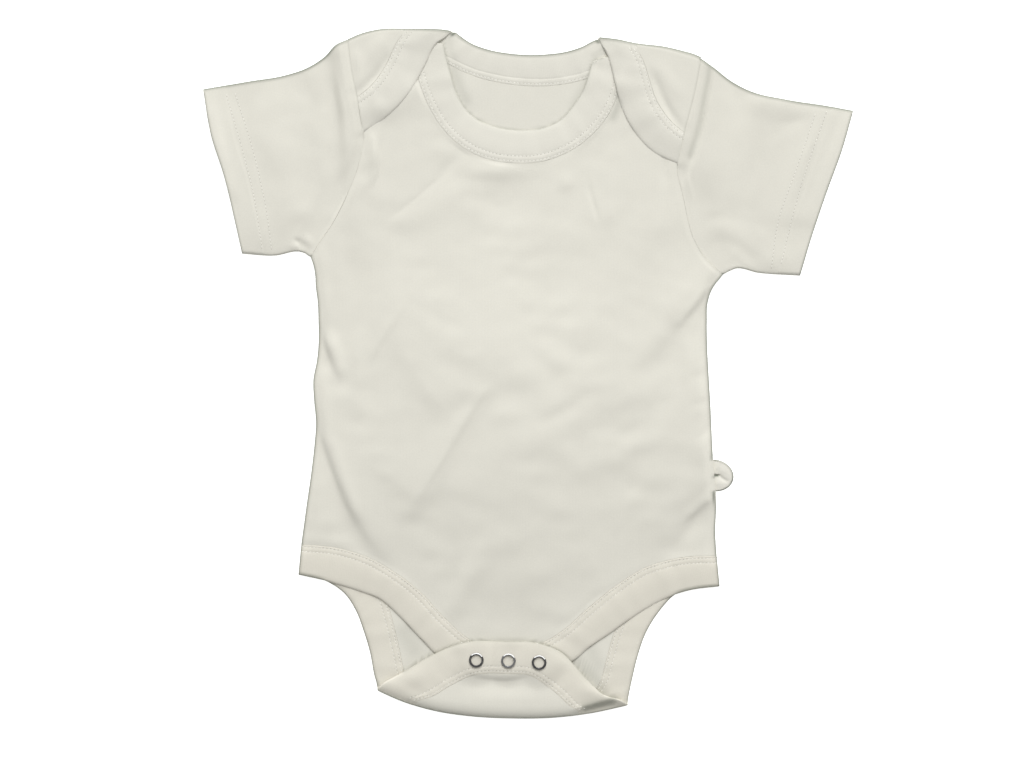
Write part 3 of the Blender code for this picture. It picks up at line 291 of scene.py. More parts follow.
rightSleeveCreases = {
    "brightBand": (9.4, 8.7, [(120.5, 167.2, 0), (118.9, 156.9, 0.58), (118.4, 143.9, 1.06), (115.8, 130.9, 0.71),
        (110.9, 117, 0)]),
    "greyBand": (7.9, 4.5, [(140.2, 158, 0), (136.5, 148, -0.52), (135.3, 136.7, -0.84), (134, 123.5, -0.83),
        (130.7, 110.5, -0.37), (127.4, 100.2, 0)]),
    "darkTriangle": (6.2, 5, [(138.5, 157.7, 0), (139.7, 154.7, -0.42), (139.7, 147.7, -0.17), (135.9, 132, 0)]),
    "streak": (3.7, 2.7, [(135.4, 146.4, 0), (141.9, 145.2, -0.01), (149.6, 146.3, -0.21), (157.6, 147.6, -0.21),
        (166.6, 149.9, 0)]),
    "belowStreak": (3.7, 3.5, [(139.2, 132.2, 0), (147.8, 142.6, -0.21), (155.9, 145.2, -0.14), (162.8, 148.6, 0)]),
    "triangleTop": (6.1, 6.1, [(136.6, 161.2, 0), (148.3, 161.6, 0.44), (155.2, 155.6, -0.25), (166, 153.9, 0)]),
    "midTrough": (17.3, 26.1, [(137.8, 134.8, 0), (136.5, 124.5, 0.08), (133.2, 113.9, 0.11), (127, 100.2, 0)]),
    "hemRidge": (2.3, 2.8, [(167.9, 153.8, 0), (166, 139.3, 0.29), (161.2, 126.6, 0.47), (158, 113.5, 0.32),
        (151.9, 95.5, 0)]),
    "lowDark": (5.2, 4, [(100.1, 86.7, 0), (106.3, 94.2, 0.3), (116.1, 95.8, -0.01), (126, 96.4, -0.11),
        (138, 94.9, 0)]),
    "lowBright": (10, 5.9, [(98.7, 85, 0), (105.8, 91, -0.5), (115.8, 90.3, -0.65), (125.1, 89.1, -0.67),
        (134.2, 88.5, 0)]),
    "hemDark": (4.9, 5.3, [(137.3, 89.1, 0), (147.4, 83.6, -0.17), (155.2, 84.5, -0.29), (163, 82.6, -0.23),
        (171.1, 80.7, 0)]),
    "curvedTrough": (5.5, 7.4, [(100, 77.2, 0), (107.1, 82.8, -0.26), (116.3, 83.6, -0.43), (124.9, 79.3, -0.14),
        (132.5, 73.8, 0.3), (138, 64.6, 0.63), (144.6, 54.6, 0)]),
    "curvedRidge": (4.7, 4.3, [(105.6, 65.6, 0), (109.3, 75.5, -0.38), (118.7, 74.9, -0.49), (126.8, 68.2, -0.51),
        (139.8, 59.5, 0)]),
    "rightCurvedRidge": (5, 5, [(127, 83.9, 0), (135.5, 80.2, 0.36), (136.2, 69.6, -0.26), (144.2, 61.7, 0)]),
    "lowHemRidge": (7.7, 5.3, [(145.9, 85.3, 0), (141.9, 75.5, 0.28), (143.6, 67.5, 0.48), (145, 53.1, 0)]),
    "seamTrough": (2.7, 3.3, [(92.5, 113.6, 0), (94.7, 101.6, 0.15), (95.8, 91.2, 0.16), (98.4, 80.8, 0.05),
        (103.8, 67.4, 0)]),
    "notch": (2.1, 3.7, [(119.6, 55.9, 0), (120.7, 61, -0.73), (120.2, 65.3, -0.2), (123.1, 69.4, 0)]),
    "besideSeam": (1.9, 3.8, [(107.2, 184, 0), (105.8, 176, -0.7), (104.2, 164.9, -1), (102.2, 152.5, -1.1),
        (99.8, 140, -1.1), (96.5, 127.1, -0.9), (92, 116.7, -0.5), (88, 106.3, 0)]),
}
rightSleeveBulges = [
    (119.6, 151.5, 8.1, 39.8, -6, -1.9), (109.3, 117.5, 9.3, 9, 0, 0.26), (144.2, 127.1, 13.2, 24.5, -6, -0.99),
    (141.7, 151.1, 4.8, 5.2, 26, 0.24), (154.1, 138.2, 8, 28.8, -14, -0.64), (164.8, 116.4, 5, 39, -15, -0.34),
    (154.2, 76.4, 14.1, 8.6, 12, -0.53), (114.4, 69.8, 8.4, 5.6, -6, -0.44), (134.8, 80.5, 9.7, 7.1, 0, -0.32),
    (112.2, 85.1, 9.1, 4.7, 6, 0.23), (127.8, 127.1, 7.9, 59.2, 0, -1.07), (139.7, 141.5, 14, 36.3, 0, 1.53),
    (144.2, 102.7, 57.3, 17.1, 0, -0.29), (111.9, 137.8, 11.5, 36.4, -36, -0.28),
    (178.1, 140.8, 3.2, 30.7, -20, -0.4), (146, 156.5, 24, 6.5, -8, 0.55), (122, 150, 5, 16, 0, 0.3),
]
# What lifts the front at the laps lifts the laps with it
underLapBulges = [(-70, 163, 12, 9, 30, 1.1), (-83, 153, 10, 6, 20, 0.8), (53.5, 167, 6, 9, 0, 1)]
lapCreases = {
    "leftSeam": (2.6, 2.6, [(-79, 187, 0), (-82.9, 180.8, -0.5), (-89.1, 172, -0.7), (-96.7, 164.5, -0.5),
        (-101, 160, 0)]),
    "leftTop": (5, 4, [(-80, 197, 0), (-86.6, 192.2, 0.6), (-89.1, 185.9, 0.55), (-93, 178, 0)]),
    "leftArm": (3, 3, [(-101, 190, 0), (-98.6, 181, 0.55), (-97.5, 170, 0.5), (-99, 160, 0)]),
    "rightSeam": (2.4, 2.6, [(71.5, 178, 0), (75.6, 165.9, -0.6), (80.8, 154.3, -0.75), (88.6, 142.6, -0.45),
        (91, 139, 0)]),
    "rightSoft": (4.5, 4.5, [(70, 184, 0), (78.2, 174, 0.35), (86, 164, 0.3), (92, 155, 0)]),
}
lapBulges = [(-85.5, 154, 5, 5, 30, 0.25), (64, 150, 6, 7, 0, 0.2)]
flapCreases = {
    "underBand": (2.3, 8, [(-37, -175.5, 0), (-29.7, -177.3, -0.6), (-22.5, -178.6, -0.75), (-15.9, -179.2, -0.75),
        (-5, -178.2, -0.6), (2, -176.6, -0.3), (7, -175.4, 0)]),
}
flapBulges = [
    (-12, -189, 36, 4.5, 0, 0.2), (41, -186, 11, 5, -20, 1.1), (-68, -177.5, 10, 5, 25, 0.8),
    (-9, -156, 8, 3, 0, 0.35), (-40, -158.5, 6, 4, 0, 0.4), (20, -169, 6, 4, -40, 0.4),
]
backBulges = [(-34, 165, 6, 9, 0, 0.35)]


# Lines and surfaces
finePerPoint, fineStretch = 24, 400
bellLook = {"reachShare": 0.4, "lengthShare": 0.3, "fewest": 6, "cutOff": 2.8, "fineSteps": 12, "fewestSteps": 40}


def even(count):
    return np.linspace(0, 1, count + 1)


def unit(vectors):
    return vectors / np.linalg.norm(vectors, axis=-1, keepdims=True)


def bell(distance, reach):
    return np.exp(-((distance / reach) ** 2))


def smoothStep(value):
    value = np.clip(value, 0, 1)
    return value * value * (3 - 2 * value)


def lineLength(line):
    return np.append(0.0, np.cumsum(np.linalg.norm(np.diff(line, axis=0), axis=1)))


def readAlong(line, length, at):
    # a line in plan, read at distances along it
    return np.stack([np.interp(at, length, line[:, i]) for i in (0, 1)], axis=-1)


def alongLine(points, shares):
    # a smooth cubic line through the points, read at shares of its length
    points = np.asarray(points, float)
    shares = np.asarray(shares, float)
    knots = lineLength(points)
    slopes = np.gradient(points, knots, axis=0)

    def at(distance):
        span = np.clip(np.searchsorted(knots, distance, side="right") - 1, 0, len(knots) - 2)
        width = (knots[span + 1] - knots[span])[:, None]
        t = (distance - knots[span])[:, None] / width
        start = (1 + 2 * t) * (1 - t) ** 2 * points[span] + t * (1 - t) ** 2 * width * slopes[span]
        end = t**2 * (3 - 2 * t) * points[span + 1] + t**2 * (t - 1) * width * slopes[span + 1]
        return start + end

    fine = np.linspace(0, knots[-1], finePerPoint * len(points))
    length = lineLength(at(fine))
    places = at(np.interp(shares.ravel() * length[-1], length, fine))
    return places.reshape(shares.shape + (points.shape[1],))


def stretchOf(line, low, high, count):
    # even places on the stretch of a line whose y runs from low to high
    fine = alongLine(line, even(fineStretch))
    shares = np.interp([low, high], fine[:, 1], even(fineStretch))
    return alongLine(line, shares[0] + (shares[1] - shares[0]) * even(count))


def coonsPatch(bottom, top, left, right):
    # ruled between left and right, plus ruled between bottom and top, less the corners' share
    u = even(len(bottom) - 1)[None, :, None]
    v = even(len(left) - 1)[:, None, None]
    across = (1 - u) * left[:, None] + u * right[:, None]
    up = (1 - v) * bottom[None] + v * top[None]
    low = (1 - u) * (1 - v) * bottom[0] + u * (1 - v) * bottom[-1]
    high = (1 - u) * v * top[0] + u * v * top[-1]
    return across + up - low - high


def lifted(plan, height):
    return np.concatenate([plan, np.broadcast_to(height, plan.shape[:-1])[..., None]], axis=-1)


def distanceTo(x, y, line):
    # shortest distance from each place to a line of points
    best = np.full(np.shape(x), 1e9)
    for start, end in zip(line[:-1], line[1:]):
        run = end - start
        if run @ run < 1e-6:
            continue
        share = np.clip(((x - start[0]) * run[0] + (y - start[1]) * run[1]) / (run @ run), 0, 1)
        best = np.minimum(best, np.hypot(x - start[0] - share * run[0], y - start[1] - share * run[1]))
    return best


def reliefAt(x, y, creases, bulges):
    # creases: bells set close together along a smooth line, each with its own reach to the left
    # and right, scaled so that a straight line of them has the crease's height. Bulges: one bell each.
    x, y = np.asarray(x, float), np.asarray(y, float)
    flatX, flatY = x.ravel(), y.ravel()
    height = np.zeros(flatX.shape)
    look = bellLook
    for leftReach, rightReach, points in creases.values():
        table = np.array(points, float)
        line = alongLine(table[:, :2], even(max(look["fewestSteps"], look["fineSteps"] * (len(table) - 1))))
        length = lineLength(line)
        knots = np.array([length[np.argmin(np.hypot(*(line - p).T))] for p in table[:, :2]])
        knots[0], knots[-1] = 0, length[-1]
        bellReach = min(look["reachShare"] * (leftReach + rightReach), look["lengthShare"] * length[-1])
        count = max(look["fewest"], math.ceil(length[-1] / bellReach))
        at = (np.arange(count) + 0.5) / count * length[-1]
        span = np.clip(np.searchsorted(knots, at, side="right") - 1, 0, len(knots) - 2)
        blend = smoothStep((at - knots[span]) / np.maximum(knots[span + 1] - knots[span], 1e-6))
        heights = table[span, 2] + (table[span + 1, 2] - table[span, 2]) * blend
        heights = heights * length[-1] / count / (bellReach * math.sqrt(math.pi))
        centres = readAlong(line, length, at)
        ways = unit(readAlong(unit(np.gradient(line, axis=0)), length, at))
        reach = look["cutOff"] * max(leftReach, rightReach, bellReach)
        for centre, ahead, top in zip(centres, ways, heights):
            near = np.nonzero((abs(flatX - centre[0]) < reach) & (abs(flatY - centre[1]) < reach))[0]
            dx, dy = flatX[near] - centre[0], flatY[near] - centre[1]
            forward, aside = dx * ahead[0] + dy * ahead[1], dy * ahead[0] - dx * ahead[1]
            side = np.where(aside > 0, leftReach, rightReach)
            height[near] += top * np.exp(-((forward / bellReach) ** 2) - (aside / side) ** 2)
    for middleX, middleY, reachX, reachY, turn, top in bulges:
        c, s = math.cos(math.radians(turn)), math.sin(math.radians(turn))
        dx, dy = flatX - middleX, flatY - middleY
        height += top * np.exp(-(((dx * c + dy * s) / reachX) ** 2) - ((dy * c - dx * s) / reachY) ** 2)
    return height.reshape(x.shape)


def wander(position, seed, wave, size):
    # a smooth uneven line: five sines of random phase about one wavelength
    random = np.random.default_rng(seed)
    total = np.zeros(np.shape(position))
    for share in (0.55, 0.8, 1.0, 1.45, 2.1):
        total = total + np.sin(2 * np.pi * (position / (wave * share) + random.random())) * share**0.5
    return total * size / 2.5


# How much of a piece's cut is taken up by the turn over a fold, and the steps of the turn
foldTake = {"lap": 4.5, "crotch": 4.0, "band": 4.5}
foldSteps = 10


def foldRows(line, low, high, way):
    # half an ellipse over a line: starts at the low layer, ends at the high one
    angle = np.linspace(0, np.pi, foldSteps + 1)[:, None]
    x = np.broadcast_to(line[:, 0], (foldSteps + 1, len(line)))
    y = line[:, 1] + way * layers["foldReach"] * np.sin(angle)
    z = (low + high) / 2 - (high - low) / 2 * np.cos(angle)
    return np.stack([x, y, z], axis=-1)


def foldAxis(silhouette, x, way):
    # places on the axis of a fold, inside the silhouette by the fold's outer reach
    inside = [(px, py - way * (layers["foldReach"] + layers["jerseyWall"] / 2)) for px, py in silhouette]
    axis = alongLine(inside, even(200))
    return np.stack([x, np.interp(x, axis[:, 0], axis[:, 1])], axis=1)


def besideSeam(stations, count, distance):
    # a line at one distance from the seam of a strip, towards the strip's free edge
    rows = alongLine(stations, even(count))
    return rows[:, :2] + unit(rows[:, 2:] - rows[:, :2]) * distance


def seamEdge(stations, count):
    # the edge of the cloth along a strip's seam
    return besideSeam(stations, count, -layers["seamGap"] / 2)


# How far the outlines grow, by the fuzz of the cloth's edge that the light catches least
def grown(points, side, by, keepFirst=False, keepLast=False):
    # the line moved sideways; side is 1 to its left and -1 to its right
    points = np.asarray(points, float)
    way = unit(np.gradient(points, axis=0))
    moved = points + side * by * np.stack([-way[:, 1], way[:, 0]], axis=1)
    if keepFirst:
        moved[0] = points[0]
    if keepLast:
        moved[-1] = points[-1]
    return [tuple(p) for p in moved]


def grownStations(stations, by):
    table = np.asarray(stations, float)
    table[:, 2:] += by * unit(table[:, 2:] - table[:, :2])
    return [tuple(row) for row in table]


grow = {
    "sides": 0.9,
    "shoulderLeft": 0.15,
    "shoulderRight": 0.8,
    "crotch": 0.85,
    "neck": 1.05,
    "legLeft": 0.8,
    "legRight": 0.8,
    "front": 0.8,
    "legEnds": 0.7,
    "sleeves": {
        "left": {"top": (-1, 0.85), "under": (1, 0.4), "cuff": (-1, 0.0)},
        "right": {"top": (1, 0.9), "under": (-1, 0.4), "cuff": (1, 0.1)},
    },
}
sideLeft = grown(sideLeft, 1, grow["sides"], keepLast=True)
sideRight = grown(sideRight, -1, grow["sides"], keepLast=True)
shoulderLeft = grown(shoulderLeft, 1, grow["shoulderLeft"])
shoulderRight = grown(shoulderRight, 1, grow["shoulderRight"])
crotch = grown(crotch, -1, grow["crotch"])
for way, sides in grow["sleeves"].items():
    lines, old = sleeveLines[way], {key: np.array(line) for key, line in sleeveLines[way].items()}
    for key, (side, by) in sides.items():
        lines[key] = grown(lines[key], side, by, keepFirst=key != "cuff")
    for key, end in (("top", 0), ("under", -1)):
        corner = np.array(lines[key][-1]) + np.array(lines["cuff"][end]) - old["cuff"][end]
        lines[key][-1] = lines["cuff"][end] = tuple(corner)
neckBandBack = grownStations(neckBandBack, grow["neck"])
legBandBackLeft = grownStations(legBandBackLeft, grow["legLeft"])
legBandBackRight = grownStations(legBandBackRight, grow["legRight"])
lapBandLeft[-1], lapBandRight[0] = neckBandBack[0], neckBandBack[-1]
flapBand[0], flapBand[-1] = legBandBackLeft[-1], legBandBackRight[0]
legBandFront[:3] = grownStations(legBandFront[:3], grow["front"])
legBandFront[-3:] = grownStations(legBandFront[-3:], grow["front"])
for stations, place, line, way in (
    (legBandFront, 0, sideLeft, -1), (legBandBackLeft, 0, sideLeft, -1),
    (legBandFront, -1, sideRight, 1), (legBandBackRight, -1, sideRight, 1),
):
    seamY, freeX, freeY = stations[place][1:]
    stations[place] = (line[0][0], seamY, freeX + way * grow["legEnds"], freeY)


def freeEdge(stations):
    return [row[2:] for row in stations]


def stripEnd(station):
    return [station[:2], station[2:]]


# painted shade: the lines along which the cloth's colour darkens, at the garment's edges and in some folds, gaps and
# openings: line, how much, how far
paintedEdgeShade = [(shoulderLeft, 1.0, 1.15), (shoulderRight, 1.0, 1.15), (freeEdge(neckBandBack), 0.95, 1.1)]
paintedEdgeShade += [(sleeveLines[way]["top"], 1.0, 1.15) for way in ("left", "right")]
paintedEdgeShade += [(sleeveLines["left"]["cuff"], 0.55, 0.85), (sleeveLines["right"]["cuff"], 0.75, 0.85)]
paintedEdgeShade += [(sleeveLines[way]["under"], 0.35, 0.8) for way in ("left", "right")]
paintedEdgeShade += [(sideLeft, 0.8, 0.9), (sideRight[:3] + [(107.5, -69.5)], 0.85, 0.9)]
paintedEdgeShade += [([(106.9, -49.5)] + sideRight[3:], 0.9, 0.9), (crotch, 0.7, 1.1)]
paintedEdgeShade += [(freeEdge(legBandBackLeft), 0.65, 0.85), (freeEdge(legBandBackRight), 0.65, 0.85)]
paintedEdgeShade += [(stripEnd(legBandFront[0]), 0.85, 0.85), (stripEnd(legBandFront[-1]), 0.85, 0.85)]
paintedEdgeShade += [(freeEdge(neckBandFront), 0.3, 0.8), (freeEdge(flapBand[1:9]), 0.35, 0.9)]
loopTurn = np.radians(np.linspace(-85, 85, 15))
loopEdge = np.stack([
    108.0 + loopOutline["reach"] * np.cos(loopTurn) - 0.62 * np.sin(loopTurn),
    loopOutline["halfHeight"] * np.sin(loopTurn) + loopOutline["middle"],
], axis=1)
paintedEdgeShade += [(loopEdge, 0.75, 0.75), ([(107.8, -59.7), (110.2, -59.7)], 0.95, 0.75)]
# painted shade away from the outline: beside the armhole seams, at the front neck binding's end, along the crotch
# fold and in its right corner, under the middle of the flap's top edge and beside the right sleeve's seam
paintedEdgeShade += [(armholeLeft[5:], 0.13, 0.4), (armholeRight[5:], 0.13, 0.4)]
paintedEdgeShade += [([(39.6, 182.0), (43.5, 182.9)], 0.35, 0.7)]
paintedEdgeShade += [(crotch[1:], 0.22, 3.2), ([(33.5, -194.2), (41.0, -192.6), (49.0, -190.4)], 0.6, 2.9)]
paintedEdgeShade += [([(-15.0, -155.6), (-3.0, -155.7)], 0.5, 0.6)]
paintedEdgeShade += [([(105.3, 176.5), (104.4, 170.0), (102.2, 158.0), (99.8, 143.8), (94.0, 126.4)], 0.18, 1.8)]
# soft shade where cloth lies close under other cloth: line, how much, how far, and up to what height
shadeLines = [
    ([(29.5, -167.5), (35.0, -172.5), (40.0, -179.0), (44.5, -185.0)], 0.24, 3.2, 2.2),
    ([(-72.0, -151.0), (-66.0, -160.0)], 0.16, 6.0, 1.6),
    ([(37.0, -162.0), (41.5, -170.5)], 0.14, 4.0, 1.6),
    ([(52.5, 161.5), (52.0, 155.0), (49.5, 148.5)], 0.22, 2.4, 3.3),
    ([(-46.0, 194.0), (-44.5, 188.0), (-42.0, 182.0)], 0.1, 2.2, 2.0),
    ([(43.5, 188.0), (39.0, 184.5)], 0.16, 2.0, 2.0),
    ([(-43.0, 176.0), (-39.5, 166.0), (-36.0, 158.5)], 0.15, 3.2, 1.6),
    ([(35.5, 171.5), (31.5, 163.5), (27.0, 156.0)], 0.15, 3.0, 1.6),
]
anyHeight = 99.0
shadedLines = [
    (alongLine(line, even(60)), weight, reach, highest)
    for line, weight, reach, highest in [(*entry, anyHeight) for entry in paintedEdgeShade] + shadeLines
]


# Cloth with a wall: the steps of a rim's rounding, the grid on which places that meet are joined, the
# least share by which a rim goes out at a corner, and how many reaches from its line a shade is worked out
shellLook = {"rimSteps": 5, "joinCell": 0.0173, "joinShift": 0.317, "leastTurn": 0.6, "shadeReaches": 2.5}
keyStep = 10**7


def piece(grid, uv, faceWay=(0, 0, 1), extra=None, extraUnder=None, rim=None):
    # one block of a sheet; faceWay is the way that its outer side mostly looks, and rim the reach
    # of the rounding where the block has an open edge
    zero = np.zeros(grid.shape[:2])
    return {
        "grid": grid,
        "rim": zero + layers["seamRim"] if rim is None else rim,
        "uv": uv,
        "way": np.array(faceWay, float),
        "extra": zero if extra is None else extra,
        "under": zero if extraUnder is None else extraUnder,
    }


def newMesh(name, places, faces, corners=None, smooth=True):
    mesh = bpy.data.meshes.new(name)
    mesh.from_pydata((places * mm).tolist(), [], faces)
    if corners is not None:
        layer = mesh.uv_layers.new(name="cut")
        layer.data.foreach_set("uv", np.asarray(corners, np.float32).ravel())
    mesh.polygons.foreach_set("use_smooth", np.full(len(mesh.polygons), smooth))
    mesh.update()
    made = bpy.data.objects.new(name, mesh)
    bpy.context.scene.collection.objects.link(made)
    return made


def clothShell(name, blocks, wall):
    # the blocks are joined where they meet, then the sheet is given an outer and an inner face, half
    # a wall to each side along its own normals, and a half-round rim along every open edge
    look = shellLook
    places, uvs, extra, under, rims, quads, base = [], [], [], [], [], [], 0
    for block in blocks:
        grid = block["grid"]
        rows, columns = grid.shape[:2]
        ids = base + np.arange(rows * columns).reshape(rows, columns)
        quad = np.stack([ids[:-1, :-1], ids[:-1, 1:], ids[1:, 1:], ids[1:, :-1]], axis=-1).reshape(-1, 4)
        flat = grid.reshape(-1, 3)
        corner = flat[quad - base]
        normal = np.cross(corner[:, 2] - corner[:, 0], corner[:, 3] - corner[:, 1])
        if normal.sum(axis=0) @ block["way"] < 0:
            quad = quad[:, ::-1]
        places.append(flat)
        uvs.append(block["uv"].reshape(-1, 2) * mm)
        extra.append(block["extra"].ravel())
        under.append(block["under"].ravel())
        rims.append(block["rim"].ravel())
        quads.append(quad)
        base += rows * columns
    places, uvs, quads = np.concatenate(places), np.concatenate(uvs), np.concatenate(quads)
    keys = np.floor(places / look["joinCell"] + look["joinShift"]).astype(np.int64)
    first, joined = np.unique(keys, axis=0, return_index=True, return_inverse=True)[1:]
    faces = joined.ravel()[quads]
    distinct = faces != np.roll(faces, -1, axis=1)
    whole = distinct.sum(axis=1) >= 3
    faces, quads, distinct = faces[whole], quads[whole], distinct[whole]
    points = places[first]
    thick = np.concatenate(extra)[first]
    thickUnder = np.concatenate(under)[first]
    uvOf = uvs[first]

    corner = points[faces]
    faceNormal = np.cross(corner[:, 2] - corner[:, 0], corner[:, 3] - corner[:, 1])
    normal = np.zeros_like(points)
    for i in range(4):
        np.add.at(normal, faces[:, i], faceNormal)
    normal /= np.maximum(np.linalg.norm(normal, axis=1), 1e-9)[:, None]

    starts = faces.ravel()
    ends = np.roll(faces, -1, axis=1).ravel()
    real = starts != ends
    starts, ends = starts[real], ends[real]
    key = np.minimum(starts, ends) * len(points) + np.maximum(starts, ends)
    inverse, count = np.unique(key, return_inverse=True, return_counts=True)[1:]
    openEdge = count[inverse.ravel()] == 1
    starts, ends = starts[openEdge], ends[openEdge]

    outward = np.zeros_like(points)
    run = unit(points[ends] - points[starts])
    for end in (starts, ends):
        np.add.at(outward, end, np.cross(run, normal[end]))
    rimIds = np.unique(starts)
    size = np.linalg.norm(outward[rimIds], axis=1)
    out = outward[rimIds] / np.maximum(size, 1e-6)[:, None]
    rimReach = np.concatenate(rims)[first][rimIds]
    out = out * (rimReach / np.clip(size / 2, look["leastTurn"], 1))[:, None]
    inner = points.copy()
    inner[rimIds] -= out
    half = wall / 2
    outer = inner + normal * (half + thick)[:, None]
    lower = inner - normal * (half + thickUnder)[:, None]

    count = len(points)
    rings, ringIds = [], [rimIds]
    rimPlace = np.full(count, -1)
    rimPlace[rimIds] = np.arange(len(rimIds))
    for step in range(1, look["rimSteps"]):
        angle = np.pi * step / look["rimSteps"]
        rise = half + np.where(angle < np.pi / 2, thick[rimIds], thickUnder[rimIds])
        rings.append(inner[rimIds] + out * np.sin(angle) + normal[rimIds] * (rise * np.cos(angle))[:, None])
        ringIds.append(2 * count + (step - 1) * len(rimIds) + np.arange(len(rimIds)))
    ringIds.append(rimIds + count)

    allPlaces = np.concatenate([outer, lower] + rings)
    faceList = [[a for a, keep in zip(f, d) if keep] for f, d in zip(faces.tolist(), distinct)]
    underList = [[a + count for a in reversed(f)] for f in faceList]
    rimFaces, rimCorners = [], []
    a, b = rimPlace[starts], rimPlace[ends]
    for upper, below in zip(ringIds[:-1], ringIds[1:]):
        rimFaces.append(np.stack([upper[b], upper[a], below[a], below[b]], axis=1))
        rimCorners.append(np.stack([uvOf[ends], uvOf[starts], uvOf[starts], uvOf[ends]], axis=1))
    # a corner that repeats is dropped from a face, and the same corner from its texture place
    cornerUv = uvs[quads]
    parts = [cornerUv[distinct], cornerUv[:, ::-1][distinct[:, ::-1]], np.concatenate(rimCorners).reshape(-1, 2)]
    allFaces = faceList + underList + np.concatenate(rimFaces).tolist()
    made = newMesh(name, allPlaces, allFaces, np.concatenate(parts))
    # a sewn edge is sharp, so that the surface beside it isn't shaded as if it turned away
    sewn = np.zeros(count, bool)
    sewn[rimIds] = rimReach < layers["freeRim"] / 2
    sewnKeys = (np.minimum(starts, ends) * keyStep + np.maximum(starts, ends))[sewn[starts] & sewn[ends]]
    sewnKeys = np.concatenate([sewnKeys, sewnKeys + count * keyStep + count])
    pairs = np.empty(len(made.data.edges) * 2, np.int64)
    made.data.edges.foreach_get("vertices", pairs)
    pairs = np.sort(pairs.reshape(-1, 2), axis=1)
    isSharp = np.isin(pairs[:, 0] * keyStep + pairs[:, 1], sewnKeys)
    made.data.attributes.new("sharp_edge", "BOOLEAN", "EDGE").data.foreach_set("value", isSharp)
    # the shade near a line in plan, up to its height: weight x exp(-(distance / reach)^2)
    plan, edge = allPlaces[:, :2], np.zeros(len(allPlaces))
    for line, weight, reach, highest in shadedLines:
        margin = look["shadeReaches"] * reach + 0.5
        close = (plan > line.min(0) - margin).all(1) & (plan < line.max(0) + margin).all(1)
        close &= allPlaces[:, 2] < highest
        near = weight * bell(distanceTo(*plan[close].T, line), reach)
        edge[close] = np.maximum(edge[close], near)
    # the painted shade is kept in the 'edge' attribute, which darkens the cloth's colour
    layer = made.data.attributes.new("edge", "FLOAT", "POINT")
    layer.data.foreach_set("value", edge.astype(np.float32))
    return made


# Front panel
frontLook = {
    "columns": 200, "lowerRows": 112, "upperRows": 84, "shoulderColumns": 24, "seamReach": 3.0, "sideReach": 6.0,
    "sideShare": 0.55, "settleReach": 8.0, "waver": 0.12, "wavers": ((0.8, 0.45, 11, 31.0), (-0.3, 1.0, 12, 24.0)),
    "fallFrom": 166, "fallReach": 14,
}
sideLineLeft, sideLineRight = alongLine(sideLeft, even(240)), alongLine(sideRight, even(240))


def fromSides(x, y):
    return np.minimum(distanceTo(x, y, sideLineLeft[::6]), distanceTo(x, y, sideLineRight[::6]))


def settled(x, y):
    # the front comes down onto the back at the side seams
    near = 1 - smoothStep(fromSides(x, y) / frontLook["settleReach"])
    return (layers["sideSeam"] - layers["front"]) * near


def shoulderFall(y):
    # the front lies lower where only its ends go under the laps
    return layers["shoulderFall"] * smoothStep((y - frontLook["fallFrom"]) / frontLook["fallReach"])


def softLimit(z, low):
    # the larger of z and low, rounded where they meet: (z + low + sqrt((z - low)^2 + bend^2)) / 2, less
    # what this adds where z is above low by usual
    bend, usual = 0.25, 0.5
    return 0.5 * (z + low + np.sqrt((z - low) ** 2 + bend**2)) - 0.5 * (np.sqrt(usual**2 + bend**2) - usual)


def frontParts():
    look = frontLook
    neck = seamEdge(neckBandFront, look["columns"] - 2 * look["shoulderColumns"])
    legs = seamEdge(legBandFront, look["columns"])
    left = alongLine(frontShoulderLeft, even(look["shoulderColumns"]))
    right = alongLine(frontShoulderRight, even(look["shoulderColumns"]))
    left[-1], right[0] = neck[0], neck[-1]
    top = np.concatenate([left[:-1], neck, right[1:]])
    armLeft = stretchOf(armholeLeft, underarmLeft[1], top[0, 1], look["upperRows"])
    armRight = stretchOf(armholeRight, underarmRight[1], top[-1, 1], look["upperRows"])
    sideL = alongLine(sideLeft, even(look["lowerRows"]))
    sideR = alongLine(sideRight, even(look["lowerRows"]))
    top[0], top[-1] = armLeft[-1], armRight[-1]
    sideL[0], sideR[0] = legs[0], legs[-1]
    across = even(look["columns"])[:, None]
    waist = (1 - across) * sideL[-1] + across * sideR[-1]
    return legs, waist, top, sideL, sideR, armLeft, armRight


def frontHeight(x, y, seams):
    look = frontLook
    relief = reliefAt(x, y, frontCreases, frontBulges + underLapBulges)
    seamFade = smoothStep(np.minimum.reduce([distanceTo(x, y, s[::4]) for s in seams]) / look["seamReach"])
    sideFade = look["sideShare"] + (1 - look["sideShare"]) * smoothStep(fromSides(x, y) / look["sideReach"])
    waver = look["waver"]
    for shareX, shareY, seed, wave in look["wavers"]:
        waver = waver * wander(x * shareX + y * shareY, seed, wave, 1.0)
    # relief x fade at the seams x fade at the sides, on the layer's own height
    z = layers["front"] - shoulderFall(y) + (relief + waver) * seamFade * sideFade
    return softLimit(z, layers["lowestFront"]) + settled(x, y)


legs, waist, frontTop, frontSideL, frontSideR, frontArmL, frontArmR = frontParts()
seams = [legs, frontTop, frontArmL, frontArmR]
blocks = []
for bounds in ((legs, waist, frontSideL, frontSideR), (waist, frontTop, frontArmL, frontArmR)):
    plan = coonsPatch(*bounds)
    blocks.append(piece(lifted(plan, frontHeight(plan[..., 0], plan[..., 1], seams)), plan))
frontPanel = clothShell("bodysuit_front", blocks, layers["jerseyWall"])
# how far the front's folds lift its side seams, along y
sideRise = {}
for way, line in (("left", frontSideL), ("right", frontSideR)):
    rise = frontHeight(line[:, 0], line[:, 1], seams) - layers["sideSeam"]
    sideRise[way] = (line[:, 1], np.maximum(rise, 0))
print("front panel made")


